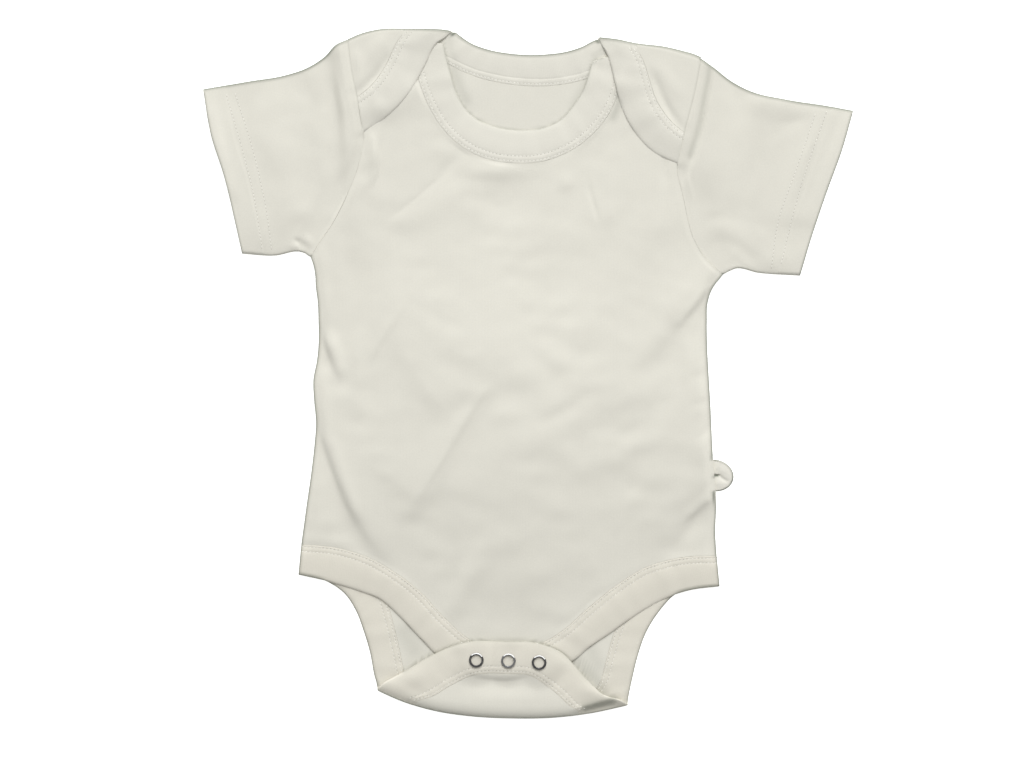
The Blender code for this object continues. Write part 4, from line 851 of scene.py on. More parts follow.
# Back panel, with its shoulder laps and its crotch flap
backLook = {
    "legColumns": 56, "crotchColumns": 72, "shoulderColumns": 36, "neckColumns": 112, "lowerRows": 80,
    "upperRows": 50, "lapRows": 30, "flapRows": 44, "riseShare": 0.9, "riseReach": 10.0, "riseBelow": 75,
    "flapLeast": 1.5, "snapRoom": 1.45, "snapRoomRadius": 17.0, "snapRoomSlope": 12.0, "snapRoomAbove": 0.45,
}
crotchLook = {
    "drop": 2.0, "reach": 7.0, "cornerX": [22.0, 27.0, 34.0, 41.0, 47.0, 53.0, 58.0],
    "cornerReach": [3.0, 3.0, 4.0, 5.2, 5.4, 3.6, 1.6], "cornerDrop": [0.0, 1.6, 2.8, 3.6, 3.7, 2.4, 1.0],
    "cornerFrom": 21.0, "cornerTo": 30.0, "power": 1.2,
}
shoulderLook = {"drop": 0.3, "reach": 1.3, "left": -104.62, "right": 100.32}
shoulderAxes = {
    "left": foldAxis(shoulderLeft, np.linspace(-104, -46, 80), 1),
    "right": foldAxis(shoulderRight, np.linspace(42, 100, 80), 1),
}
crotchLine = foldAxis(crotch, np.linspace(-90, 60, 151), -1)


def roundedOff(u):
    # 1 - sqrt(1 - u^2), a quarter of a circle, kept just short of its upright end
    return 1 - np.sqrt(1 - u**2 * 0.999)


def crotchDrop(x, y):
    # the turned cloth rounds down to the crotch fold by drop x (1 - sqrt(1 - u^2)), and slopes down to it
    # at the right corner by drop x u^power; u = 1 - distance / reach
    look = crotchLook
    distance = distanceTo(x, y, crotchLine)
    u = np.clip(1 - distance / look["reach"], 0, 1)
    middle = look["drop"] * roundedOff(u)
    u = np.clip(1 - distance / np.interp(x, look["cornerX"], look["cornerReach"]), 0, 1)
    corner = np.interp(x, look["cornerX"], look["cornerDrop"]) * u ** look["power"]
    share = smoothStep((x - look["cornerFrom"]) / (look["cornerTo"] - look["cornerFrom"]))
    return middle + (corner - middle) * share


def shoulderDrop(x, y, key):
    # a lap rounds over its shoulder fold in the same way
    u = np.clip(1 - distanceTo(x, y, shoulderAxes[key]) / shoulderLook["reach"], 0, 1)
    return shoulderLook["drop"] * roundedOff(u)


def flapLift(x, y):
    # the flap passes over the studs, and stays up on their far side
    look = backLook
    away = [np.hypot(x - px, np.where(y > py, look["snapRoomAbove"], 1.0) * (y - py)) for px, py in snapPlaces]
    near = (look["snapRoomRadius"] - np.minimum.reduce(away)) / look["snapRoomSlope"]
    return look["snapRoom"] * smoothStep(near)


def flapHeight(x, y, extra=0.0):
    z = layers["lap"] + extra + flapLift(x, y) - crotchDrop(x, y) + reliefAt(x, y, flapCreases, flapBulges)
    return softLimit(z, backLook["flapLeast"] + extra)


def lapRelief(x, y, key):
    return reliefAt(x, y, lapCreases, lapBulges + underLapBulges) - shoulderDrop(x, y, key)


def backHeight(x, y):
    # the back comes up at the side seams where the front's folds run into them
    look = backLook
    rise = np.where(x < 0, np.interp(y, *sideRise["left"]), np.interp(y, *sideRise["right"]))
    rise = np.where((y > frontSideL[0, 1]) & (y < look["riseBelow"]), rise, 0)
    rise = look["riseShare"] * rise * (1 - smoothStep(fromSides(x, y) / look["riseReach"]))
    return layers["back"] + rise + reliefAt(x, y, {}, backBulges)


def backBlocks():
    look = backLook
    legLeft = seamEdge(legBandBackLeft, look["legColumns"])
    legRight = seamEdge(legBandBackRight, look["legColumns"])
    neck = seamEdge(neckBandBack, look["neckColumns"])
    flapSeam = seamEdge(flapBand, look["crotchColumns"])
    lapLeft = seamEdge(lapBandLeft, look["shoulderColumns"])
    lapRight = seamEdge(lapBandRight, look["shoulderColumns"])
    crotchRow = foldAxis(crotch, np.linspace(legLeft[-1, 0], legRight[0, 0], look["crotchColumns"] + 1), -1)
    legLeft[-1], legRight[0] = crotchRow[0], crotchRow[-1]
    flapSeam[0], flapSeam[-1] = crotchRow[0], crotchRow[-1]
    shoulders = look["shoulderColumns"] + 1
    shoulderL = foldAxis(shoulderLeft, np.linspace(shoulderLook["left"], neck[0, 0], shoulders), 1)
    shoulderR = foldAxis(shoulderRight, np.linspace(neck[-1, 0], shoulderLook["right"], shoulders), 1)
    neck[0], neck[-1] = shoulderL[-1], shoulderR[0]
    lapLeft[-1], lapRight[0] = shoulderL[-1], shoulderR[0]
    armL = stretchOf(armholeLeft, underarmLeft[1], shoulderL[0, 1], look["upperRows"])
    armR = stretchOf(armholeRight, underarmRight[1], shoulderR[-1, 1], look["upperRows"])
    armL[-1], armR[-1] = shoulderL[0], shoulderR[-1]
    sideL = alongLine(sideLeft, even(look["lowerRows"]))
    sideR = alongLine(sideRight, even(look["lowerRows"]))
    bottom = np.concatenate([legLeft, crotchRow[1:], legRight[1:]])
    top = np.concatenate([shoulderL, neck[1:], shoulderR[1:]])
    sideL[0], sideR[0] = bottom[0], bottom[-1]
    armL[0], armR[0] = sideL[-1], sideR[-1]
    across = even(len(bottom) - 1)[:, None]
    waist = (1 - across) * sideL[-1] + across * sideR[-1]

    made = []
    for plan in (coonsPatch(bottom, waist, sideL, sideR), coonsPatch(waist, top, armL, armR)):
        made.append(piece(lifted(plan, backHeight(plan[..., 0], plan[..., 1])), plan))
    for fold, lapSeam, armhole, end, key in (
        (shoulderL, lapLeft, armholeLeft, 0, "left"), (shoulderR, lapRight, armholeRight, -1, "right")
    ):
        arm = stretchOf(armhole, lapSeam[end, 1], fold[end, 1], look["lapRows"])
        arm[0], arm[-1] = lapSeam[end], fold[end]
        point = np.repeat(fold[-1 - end][None], look["lapRows"] + 1, axis=0)
        sides = (arm, point) if end == 0 else (point, arm)
        plan = coonsPatch(lapSeam, fold, *sides)
        z = layers["lap"] + lapRelief(plan[..., 0], plan[..., 1], key)
        # past the shoulder the cut goes on upwards, so the lap's places on it are mirrored at the fold
        cut = plan.copy()
        cut[..., 1] = 2 * np.interp(plan[..., 0], fold[:, 0], fold[:, 1]) + foldTake["lap"] - plan[..., 1]
        made.append(piece(lifted(plan, z), cut, (0, 0, -1)))
        high = layers["lap"] + lapRelief(fold[:, 0], fold[:, 1], key)
        rows = foldRows(fold, layers["back"], high, 1)
        arc = even(foldSteps)[:, None] * foldTake["lap"]
        cut = np.stack([rows[..., 0], fold[None, :, 1] + arc], axis=-1)
        made.append(piece(rows, cut, (0, -1, 0)))
    share = even(look["flapRows"])[:, None, None]
    flap = (1 - share) * crotchRow + share * flapSeam
    x, y = flap[..., 0], flap[..., 1]
    z = flapHeight(x, y)
    cut = flap.copy()
    cut[..., 1] = 2 * np.interp(x, crotchRow[:, 0], crotchRow[:, 1]) - foldTake["crotch"] - y
    made.append(piece(lifted(flap, z), cut, (0, 0, -1)))
    rows = foldRows(crotchRow, layers["back"], z[0], -1)
    arc = even(foldSteps)[:, None] * foldTake["crotch"]
    cut = np.stack([rows[..., 0], crotchRow[None, :, 1] - arc], axis=-1)
    made.append(piece(rows, cut, (0, 1, 0)))
    return made


backPanel = clothShell("bodysuit_back", backBlocks(), layers["jerseyWall"])
print("back panel made")


# Bindings
bandLook = {
    "spacing": 1.1,
    "nearSeam": [0, 0.35, 0.7, 1.0, 1.3, 1.6, 2.0, 2.6, 3.2, 3.7, 4.0, 4.3, 4.6, 5.0, 5.7, 6.6],
    "beyond": [0.14, 0.3, 0.46, 0.62, 0.76, 0.88],
    "edge": [1.1, 0.5, 0.0],
    "bead": 0.03,
    "beadAt": 0.6,
    "beadReach": 0.45,
    "groove": 0.05,
    "seamDip": 0.07,
    "seamDipReach": 0.7,
    "firstRow": 1.3,
    "firstReach": 0.30,
    "secondRow": 4.15,
    "secondReach": 0.36,
    "bulge": 0.07,
    "pillow": 0.20,
    "pillowPower": 0.7,
    "taper": 0.25,
    "taperUnder": 0.22,
    "taperReach": 1.0,
    "foldReach": 2.2,
    "pucker": 0.05,
    "puckerWave": 7.0,
    "puckerAt": 3.0,
    "puckerReach": 4.0,
    "sway": 0.10,
    "swayWave": 19.0,
    "swayFrom": 6,
}


def bandShares(width):
    # distances across a strip: fixed near its seam, then shares of what is left, then close at its edge
    look = bandLook
    fixed = np.broadcast_to(look["nearSeam"], (len(width), len(look["nearSeam"])))
    last = look["nearSeam"][-1]
    rest = last + np.array(look["beyond"])[None] * (width[:, None] - last - look["edge"][0])
    edge = width[:, None] - np.array(look["edge"])[None]
    return np.concatenate([fixed, rest, edge], axis=1)


def bandRelief(distance, width, along, seed, bead=None):
    # a bead beside the seam, a groove at each stitch row, a low bulge between them, a soft pillow
    # out to the edge, and uneven puckers that cross the rows
    look = bandLook
    bead = look["bead"] if bead is None else bead
    relief = bead * bell(distance - look["beadAt"], look["beadReach"])
    relief = relief - look["seamDip"] * bell(distance, look["seamDipReach"])
    for key in ("first", "second"):
        relief = relief - look["groove"] * bell(distance - look[key + "Row"], look[key + "Reach"])
    between = (distance - look["firstRow"]) / (look["secondRow"] - look["firstRow"])
    relief = relief + look["bulge"] * np.sin(np.pi * np.clip(between, 0, 1))
    beyond = (distance - look["secondRow"]) / (width - look["secondRow"])
    relief = relief + look["pillow"] * np.sin(np.pi * np.clip(beyond, 0, 1)) ** look["pillowPower"]
    relief = relief - look["taper"] * bell(width - distance, look["taperReach"])
    puckers = wander(along, seed, look["puckerWave"], look["pucker"])
    relief = relief + puckers * bell(distance - look["puckerAt"], look["puckerReach"])
    return relief + wander(along, seed + 1, look["swayWave"], look["sway"]) * smoothStep(distance / look["swayFrom"])


def bandRows(stations, seed, bead=None, folds=(None, None)):
    # folds: for each end that turns over a fold, the silhouette there and the way that it faces
    table = np.asarray(stations, float)
    middle = (table[:, :2] + table[:, 2:]) / 2
    count = max(4, round(lineLength(middle)[-1] / bandLook["spacing"]))
    rows = alongLine(stations, even(count))
    seam, free = rows[:, :2], rows[:, 2:]
    width = np.linalg.norm(free - seam, axis=1)
    away = (free - seam) / width[:, None]
    gap = layers["seamGap"] / 2
    width = width - gap
    distance = bandShares(width)
    plan = seam[:, None] + away[:, None] * (gap + distance)[..., None]
    length = lineLength((seam + free) / 2)[:, None]
    along = np.broadcast_to(length, distance.shape)
    for end, fold in zip((0, -1), folds):
        if fold is None:
            continue
        silhouette, way = fold
        target = np.interp(plan[end, :, 0], silhouette[:, 0], silhouette[:, 1])
        shift = target - way * (layers["foldReach"] + layers["bandWall"] / 2) - plan[end, :, 1]
        plan[..., 1] += shift * bell(length - length[end], bandLook["foldReach"])
    relief = bandRelief(distance, width[:, None], along, seed, bead)
    rim = np.where(distance > width[:, None] - 0.01, layers["freeRim"], layers["seamRim"])
    fromEdge = width[:, None] - distance
    under = -bandLook["taperUnder"] * bell(fromEdge, bandLook["taperReach"])
    fields = {"plan": plan, "distance": distance, "along": along, "relief": relief, "rim": rim}
    return fields | {"fromEdge": fromEdge, "under": under}


def bandFold(rows, end, low, high, way, startAlong):
    # the half-round turn of a strip over a fold: its relief moves from the inner to the outer side
    line, relief, under = (rows[key][end] for key in ("plan", "relief", "under"))
    turned = foldRows(line, low, high, way)
    share = smoothStep(even(foldSteps))[:, None]
    arc = even(foldSteps)[:, None] * foldTake["band"]
    cut = np.stack([startAlong + arc + 0 * relief, rows["distance"][end] + 0 * arc], axis=-1)
    rim = np.broadcast_to(rows["rim"][end], turned.shape[:2])
    blend = relief * (1 - share) + under * share, relief * share + under * (1 - share)
    return piece(turned, cut, (0, -way, 0), *blend, rim)


def bandPiece(rows, z, up=True, startAlong=0.0):
    cut = np.stack([rows["along"] + startAlong, rows["distance"]], axis=-1)
    extra, under = (rows["relief"], rows["under"]) if up else (rows["under"], rows["relief"])
    return piece(lifted(rows["plan"], z), cut, (0, 0, 1 if up else -1), extra, under, rows["rim"])


lapDroopLook = {
    "drop": 0.95, "dropClear": 1.15, "reach": 16.0, "dropTurn": 1.6, "turnReach": 11.0, "left": (182.0, 172.0),
    "right": (164.0, 154.0),
}


def lapDroop(rows, key):
    # a lap's binding comes down at its free edge, and more where it is clear of the front's binding
    look = lapDroopLook
    high, low = look[key]
    clear = smoothStep((high - rows["plan"][..., 1]) / (high - low))
    drop = look["drop"] + (look["dropClear"] - look["drop"]) * clear
    turn = (lapBandLeft[-1] if key == "left" else lapBandRight[0])[2:]
    away = np.hypot(rows["plan"][..., 0] - turn[0], rows["plan"][..., 1] - turn[1])
    pressed = look["dropTurn"] * smoothStep(1 - away / look["turnReach"])
    return drop * smoothStep(1 - rows["fromEdge"] / look["reach"]) + pressed


def neckBandBackPiece():
    onLeft, onRight = ((alongLine(line, even(80)), 1) for line in (shoulderLeft, shoulderRight))
    neck = bandRows(neckBandBack, 21, folds=(onLeft, onRight))
    left = bandRows(lapBandLeft, 31, folds=(None, onLeft))
    right = bandRows(lapBandRight, 41, folds=(onRight, None))
    neck["plan"][0], neck["distance"][0] = left["plan"][-1], left["distance"][-1]
    right["plan"][0], right["distance"][0] = neck["plan"][-1], neck["distance"][-1]
    low, take = layers["backBand"], foldTake["band"]
    onLap = [
        layers["lapBand"] + lapRelief(rows["plan"][..., 0], rows["plan"][..., 1], key) - lapDroop(rows, key)
        for key, rows in (("left", left), ("right", right))
    ]
    for key in ("relief", "under"):
        left[key][-1], right[key][0] = neck[key][0], neck[key][-1]
    length, middle = left["along"][-1, 0], neck["along"][-1, 0]
    blocks = [
        bandPiece(left, onLap[0], up=False),
        bandFold(neck, 0, low, onLap[0][-1], 1, length),
        bandPiece(neck, low, startAlong=length + take),
        bandFold(neck, -1, low, onLap[1][0], 1, length + take + middle),
        bandPiece(right, onLap[1], up=False, startAlong=length + 2 * take + middle),
    ]
    return clothShell("bodysuit_binding_neck_back", blocks, layers["bandWall"])


def legBandBackPiece():
    onCrotch = (alongLine(crotch, even(120)), -1)
    left = bandRows(legBandBackLeft, 51, folds=(None, onCrotch))
    right = bandRows(legBandBackRight, 61, folds=(onCrotch, None))
    flap = bandRows(flapBand, 71, folds=(onCrotch, onCrotch))
    flap["plan"][0], flap["distance"][0] = left["plan"][-1], left["distance"][-1]
    flap["plan"][-1], flap["distance"][-1] = right["plan"][0], right["distance"][0]
    for key in ("relief", "under"):
        flap[key][0], flap[key][-1] = left[key][-1], right[key][0]
    low, take = layers["backBand"], foldTake["band"]
    z = flapHeight(flap["plan"][..., 0], flap["plan"][..., 1], layers["lapBand"] - layers["lap"])
    length, middle = left["along"][-1, 0], flap["along"][-1, 0]
    blocks = [
        bandPiece(left, low),
        bandFold(left, -1, low, z[0], -1, length),
        bandPiece(flap, z, up=False, startAlong=length + take),
        bandFold(right, 0, low, z[-1], -1, length + take + middle),
        bandPiece(right, low, startAlong=length + 2 * take + middle),
    ]
    return clothShell("bodysuit_binding_leg_back", blocks, layers["bandWall"])


frontBandLook = {
    "legDroop": 0.65, "legReach": 14.0, "sideDroop": 0.45, "sideAt": 112.0, "sideReach": 20.0, "legBead": 0.11,
    "neckDroop": 0.55, "neckReach": 17.0, "neckTop": 172.0, "neckFade": 12.0,
}


def frontBandPiece(name, stations, seed, bead=None):
    # a front binding comes down towards its free edge, less at the sides and under the laps
    look = frontBandLook
    rows = bandRows(stations, seed, bead)
    x, y = rows["plan"][..., 0], rows["plan"][..., 1]
    if "leg" in name:
        inward = smoothStep((look["sideAt"] - abs(x)) / look["sideReach"])
        share = look["sideDroop"] + (1 - look["sideDroop"]) * inward
        droop = look["legDroop"] * share * smoothStep(1 - rows["fromEdge"] / look["legReach"])
        z = layers["frontBand"] + settled(x, y) - droop
    else:
        share = smoothStep((look["neckTop"] - y) / look["neckFade"])
        droop = look["neckDroop"] * share * smoothStep(1 - rows["fromEdge"] / look["neckReach"])
        z = layers["frontBand"] - shoulderFall(y) - droop
    return clothShell(name, [bandPiece(rows, z)], layers["bandWall"])


bandNeckBack = neckBandBackPiece()
bandNeckFront = frontBandPiece("bodysuit_binding_neck_front", neckBandFront, 81)
bandLegFront = frontBandPiece("bodysuit_binding_leg_front", legBandFront, 91, frontBandLook["legBead"])
bandLegBack = legBandBackPiece()
print("bindings made")


# Sleeves
sleeveLook = {
    "outStations": 110, "frontColumns": 96, "backColumns": 30, "foldSteps": 8, "loft": 1.3, "loftFrom": 0.04,
    "loftReach": 0.3, "foldPower": 0.7, "lowest": 0.3, "lowestFrom": 0.5, "lapTo": 0.36, "lapFade": 0.30,
    "seamFrom": 0.75, "seamReach": 2.0, "seamFade": 5.0, "bandTop": {"left": (162.0, 141.5), "right": (143.0, 123.5)},
    "bandFall": 1.0, "fallReach": 5.0, "ridge": 0.4, "ridgeRise": 1.5, "ridgeReach": 4.5, "ridgeFade": 3,
    "ridgeFrom": {"left": 118.0, "right": 98.0}, "ridgeOver": 16, "hem": 13.0, "hemThick": 0.16, "armShare": 0.1,
}


def sleeveRelief(which, x, y, arm):
    look = sleeveLook
    tables = {"left": (leftSleeveCreases, leftSleeveBulges), "right": (rightSleeveCreases, rightSleeveBulges)}
    fromArm = distanceTo(x, y, arm[::4])
    relief = reliefAt(x, y, *tables[which]) * smoothStep(fromArm / look["seamReach"])
    # the cloth turned back into the sleeve stands up beside the armhole
    upward = smoothStep((y - look["ridgeFrom"][which]) / look["ridgeOver"])
    fade = 1 - smoothStep((fromArm - look["ridgeReach"]) / look["ridgeFade"])
    return relief + look["ridge"] * smoothStep(fromArm / look["ridgeRise"]) * fade * upward


def sleeveRings(which):
    look = sleeveLook
    lines = sleeveLines[which]
    side = -1 if which == "left" else 1
    out = even(look["outStations"])
    down = even(look["frontColumns"])
    arm = alongLine(lines["armhole"][::-1], down)
    direction = unit(np.gradient(arm, axis=0))
    arm = arm + side * layers["seamGap"] * np.stack([-direction[:, 1], direction[:, 0]], axis=1)
    topRail, underRail = alongLine(lines["top"], out), alongLine(lines["under"], out)
    topRail[0], underRail[0] = arm[0], arm[-1]
    cuff = alongLine(lines["cuff"], down)
    plan = coonsPatch(topRail, underRail, arm, cuff).transpose(1, 0, 2)

    outGrid = out[:, None]
    fall = layers["front"] - layers["lap"]
    atArm = layers["lap"] + fall * smoothStep((down - look["lapTo"]) / look["lapFade"])
    nearSeam = smoothStep((down - look["seamFrom"]) / (1 - look["seamFrom"]))
    settle = (layers["sideSeam"] - layers["front"]) * nearSeam
    atArm = atArm + settle
    # the sleeve's edge follows the lap, the lap's binding and then the front
    high, low = look["bandTop"][which]
    onLap = layers["lap"] + lapRelief(arm[:, 0], arm[:, 1], which)
    onLap = onLap - look["bandFall"] * smoothStep((high - arm[:, 1]) / (high - low))
    atSeam = onLap + (layers["front"] - onLap) * smoothStep((low - arm[:, 1]) / look["fallReach"]) + settle
    lowest = layers["sideSeam"] + look["lowest"]
    base = lowest + (atArm - lowest) * (1 - smoothStep(outGrid / look["lowestFrom"]))
    offFolds = np.sin(np.pi * down) ** look["foldPower"]
    loft = look["loft"] * smoothStep((outGrid - look["loftFrom"]) / look["loftReach"]) * offFolds
    x, y = plan[..., 0], plan[..., 1]
    base = base + (atSeam - atArm) * bell(distanceTo(x, y, arm[::4]), look["seamFade"])
    z = base + loft + sleeveRelief(which, x, y, arm)
    z = np.maximum(softLimit(z, layers["lowestFront"]), layers["lowestFront"])

    # the two folds take up half the sleeve's thickness at each end of a row, and beside the armhole
    # they follow it
    take = layers["foldReach"] + layers["jerseyWall"] / 2
    nearArm = 1 - smoothStep(outGrid / look["armShare"])
    slid = alongLine(arm, down + take / lineLength(arm)[-1] * ((1 - down) ** 4 - down**4)) - arm
    drawn, outwards = 0, []
    for end, other, inner, share in ((0, -1, 3, 1 - down), (-1, 0, -4, down)):
        outward = unit(plan[:, end] - plan[:, other])
        drawn = drawn - outward[:, None] * take * (share**4)[None, :, None]
        outwards.append((1 - nearArm) * outward + nearArm * unit(arm[end] - arm[inner]))
    plan = plan + (1 - nearArm)[..., None] * drawn + nearArm[..., None] * slid[None]
    front = lifted(plan, z)
    backPlan = np.stack([readAlong(row, down, even(look["backColumns"])) for row in plan])
    back = lifted(backPlan, layers["back"])[:, ::-1]
    arcs = []
    for end, outward in ((-1, outwards[1]), (0, outwards[0])):
        radius = (z[:, end] - layers["back"]) / 2
        angle = np.linspace(0, np.pi, look["foldSteps"] + 1)[None, 1:-1, None]
        reach = layers["foldReach"] * np.sin(angle)
        height = layers["back"] + radius[:, None, None] * (1 + np.cos(angle))
        arcs.append(np.concatenate([plan[:, end][:, None] + outward[:, None] * reach, height], axis=-1))
    ring = np.concatenate([front, arcs[0], back, arcs[1][:, ::-1], front[:, :1]], axis=1)
    around = lineLength(ring[len(ring) // 2])
    reachOut = np.stack([lineLength(ring[:, j]) for j in range(ring.shape[1])], axis=1)
    cut = np.stack([np.broadcast_to(around, reachOut.shape), reachOut], axis=-1)
    fromCuff = reachOut[-1][None] - reachOut
    hem = smoothStep(look["hem"] + 0.5 - fromCuff) * look["hemThick"]
    rim = np.where(fromCuff < 0.01, layers["freeRim"], layers["seamRim"])
    return ring, cut, hem, rim


def sleevePiece(which):
    ring, cut, hem, rim = sleeveRings(which)
    # a tube looks every way, so the front and the rest are two blocks that meet
    split = sleeveLook["frontColumns"] + 1
    low = slice(split - 1, None)
    front = piece(ring[:, :split], cut[:, :split], (0, 0, 1), hem[:, :split], hem[:, :split], rim[:, :split])
    rest = piece(ring[:, low], cut[:, low], (0, 0, -1), 0 * hem[:, low], hem[:, low], rim[:, low])
    return clothShell(f"bodysuit_sleeve_{which}", [front, rest], layers["jerseyWall"])


sleeveLeft, sleeveRight = sleevePiece("left"), sleevePiece("right")
print("sleeves made")


# Side loop
loopLook = {
    "inside": 1.6,
    "insideReach": 3.0,
    "z": 1.15,
    "wall": 1.15,
    "rimReach": 0.5,
    "rimGroove": 0.05,
    "grooveAt": 0.86,
    "grooveReach": 0.035,
    "turnSteps": 60,
    "outSteps": 26,
    "creases": {
        "fromOpening": (1.0, 1.3, [(2.0, 0.0, -0.3), (4.0, -1.2, -0.4), (6.5, -3.0, -0.35), (8.6, -3.6, 0)]),
        "upper": (0.9, 1.4, [(1.8, 0.6, -0.2), (2.6, 2.8, -0.25), (2.8, 5.2, 0)]),
        "opening": (0.55, 0.55, [(0.6, 0.1, -0.5), (1.6, 0.1, -0.9), (2.8, 0.0, -0.6), (3.9, -0.3, 0)]),
    },
    "bulges": [(4.8, 3.0, 2.6, 2.4, 0, 0.28), (2.6, -4.6, 2.2, 2.2, 0, 0.22), (8.2, 0.5, 1.6, 2.6, 0, 0.15)],
}


def sideLoopPiece():
    look = loopLook
    angle = np.linspace(-np.pi / 2, np.pi / 2, look["turnSteps"] + 1)[:, None]
    share = even(look["outSteps"])[None]
    u = np.cos(angle) * loopOutline["reach"] * share
    v = np.sin(angle) * loopOutline["halfHeight"] * share
    y = loopOutline["middle"] + v
    side = np.interp(y, sideLineRight[:, 1], sideLineRight[:, 0])
    # the tape's inner end is caught under the edge of the side seam
    inside = look["inside"] * (1 - smoothStep(u / look["insideReach"]))
    relief = reliefAt(u, v, look["creases"], look["bulges"])
    relief = relief - look["rimGroove"] * bell(share - look["grooveAt"], look["grooveReach"])
    grid = lifted(np.stack([side + u - inside, y], axis=-1), look["z"])
    cut = np.stack([u, v], axis=-1)
    block = piece(grid, cut, (0, 0, 1), relief, rim=np.full(grid.shape[:2], look["rimReach"]))
    return clothShell("bodysuit_side_loop", [block], look["wall"])


sideLoop = sideLoopPiece()
print("side loop made")


# Snap rings
ringLook = {
    "outer": 4.25, "inner": 3.0, "height": 1.0, "lean": 0.55, "square": 0.8, "segments": 72, "profile": 24,
    "bottom": 5.45, "paintedHighlightTurn": 82, "paintedHighlightHalf": 52, "paintedHighlightFrom": 3.45, "paintedHighlightTo": 4.1, "paintedHighlightAbove": 0.3,
}


def ringPiece(number, place):
    look = ringLook
    middle, half = (look["outer"] + look["inner"]) / 2, (look["outer"] - look["inner"]) / 2
    turn = np.linspace(0, 2 * np.pi, look["segments"] + 1)[:-1, None]
    angle = np.linspace(0, 2 * np.pi, look["profile"] + 1)[None, :-1]
    # a bar that is highest near its inner side: radius = middle + half x cos a - lean x half x (1 + sin a) / 2,
    # height = half the bar's height x (1 + sin a), the sine and cosine squared off
    c, s = (np.sign(v) * np.abs(v) ** look["square"] for v in (np.cos(angle), np.sin(angle)))
    radius = middle + half * c - look["lean"] * half * (1 + s) / 2 * (1 - np.abs(c))
    rise = look["height"] / 2 * (1 + s)
    x, y = radius * np.cos(turn), radius * np.sin(turn)
    z = rise + look["bottom"] + 0 * turn
    places = np.stack([x + place[0], y + place[1], z], axis=-1).reshape(-1, 3)
    near = np.arange(len(places)).reshape(look["segments"], look["profile"])
    far = np.roll(near, -1, axis=0)
    faces = np.stack([near, far, np.roll(far, -1, axis=1), np.roll(near, -1, axis=1)], axis=-1).reshape(-1, 4)
    made = newMesh(f"snap_cap_{number}", places, faces.tolist())
    # painted highlight: the part of the outer slope that faces the lamp gets a pale colour that is not metal
    middles = places[faces].mean(axis=1) - [*place, look["bottom"]]
    aside = np.degrees(np.arctan2(middles[:, 1], middles[:, 0])) - look["paintedHighlightTurn"]
    out = np.hypot(middles[:, 0], middles[:, 1])
    paintedHighlightFaces = (abs(aside) < look["paintedHighlightHalf"]) & (out > look["paintedHighlightFrom"]) & (out < look["paintedHighlightTo"])
    paintedHighlightFaces &= middles[:, 2] > look["paintedHighlightAbove"] * look["height"]
    made.data.polygons.foreach_set("material_index", paintedHighlightFaces.astype(np.int32))
    return made


rings = [ringPiece(i + 1, place) for i, place in enumerate(snapPlaces)]
print("snap rings made")


# Stitches
stitchLook = {
    "pitch": 2.15, "length": 1.5, "width": 0.42, "height": 0.15, "slip": 0.12, "turn": 0.05, "uneven": 0.06,
    "steepest": 0.8, "holeLong": 0.27, "holeWide": 0.24, "holeUp": 0.03, "beadSides": 6,
    "beadRings": ((-0.82, 0.62), (0.0, 1.0), (0.82, 0.62)),
}
trees = {}


def bvhOf(cloth):
    if cloth.name not in trees:
        places = np.empty(len(cloth.data.vertices) * 3)
        cloth.data.vertices.foreach_get("co", places)
        faces = [tuple(p.vertices) for p in cloth.data.polygons]
        trees[cloth.name] = BVHTree.FromPolygons(places.reshape(-1, 3).tolist(), faces)
    return trees[cloth.name]


def dropOn(cloth, line, fromHeight):
    # the highest places of a piece under a line in plan, and the ways that its surface faces there
    places, normals = [], []
    down = mathutils.Vector((0, 0, -1))
    tree = bvhOf(cloth)
    for x, y in line:
        hit, normal = tree.ray_cast(mathutils.Vector((x * mm, y * mm, fromHeight * mm)), down)[:2]
        if hit is None:
            places.append((x, y, np.nan))
            normals.append((0, 0, 1))
        else:
            places.append(tuple(v / mm for v in hit))
            normals.append(tuple(normal))
    return np.array(places), np.array(normals)


def stitchRow(cloth, line, fromHeight, seed, slant=0.0):
    # middles, directions and normals of the stitches on a line in plan, evenly spaced with small slips,
    # their sizes and half the spacing
    look = stitchLook
    random = np.random.default_rng(seed)
    length = lineLength(line)
    count = max(1, int(length[-1] / look["pitch"]))
    at = (np.arange(count) + 0.5) * length[-1] / count + random.uniform(-look["slip"], look["slip"], count)
    (first, _), (middle, normal), (last, _) = [
        dropOn(cloth, readAlong(line, length, np.clip(at + part * look["length"], 0, length[-1])), fromHeight)
        for part in (-0.5, 0, 0.5)
    ]
    along = last - first
    good = ~(np.isnan(along).any(axis=1) | np.isnan(middle).any(axis=1))
    good &= np.abs(along[:, 2]) < look["steepest"] * look["length"]
    middle, along, normal = middle[good], unit(along[good]), normal[good]
    turn = (slant + random.normal(0, look["turn"], len(along)))[:, None]
    along = along * np.cos(turn) + np.cross(normal, along) * np.sin(turn)
    size = random.normal(1, look["uneven"], len(along))
    return middle, along, normal, size, np.full(len(along), length[-1] / count / 2)


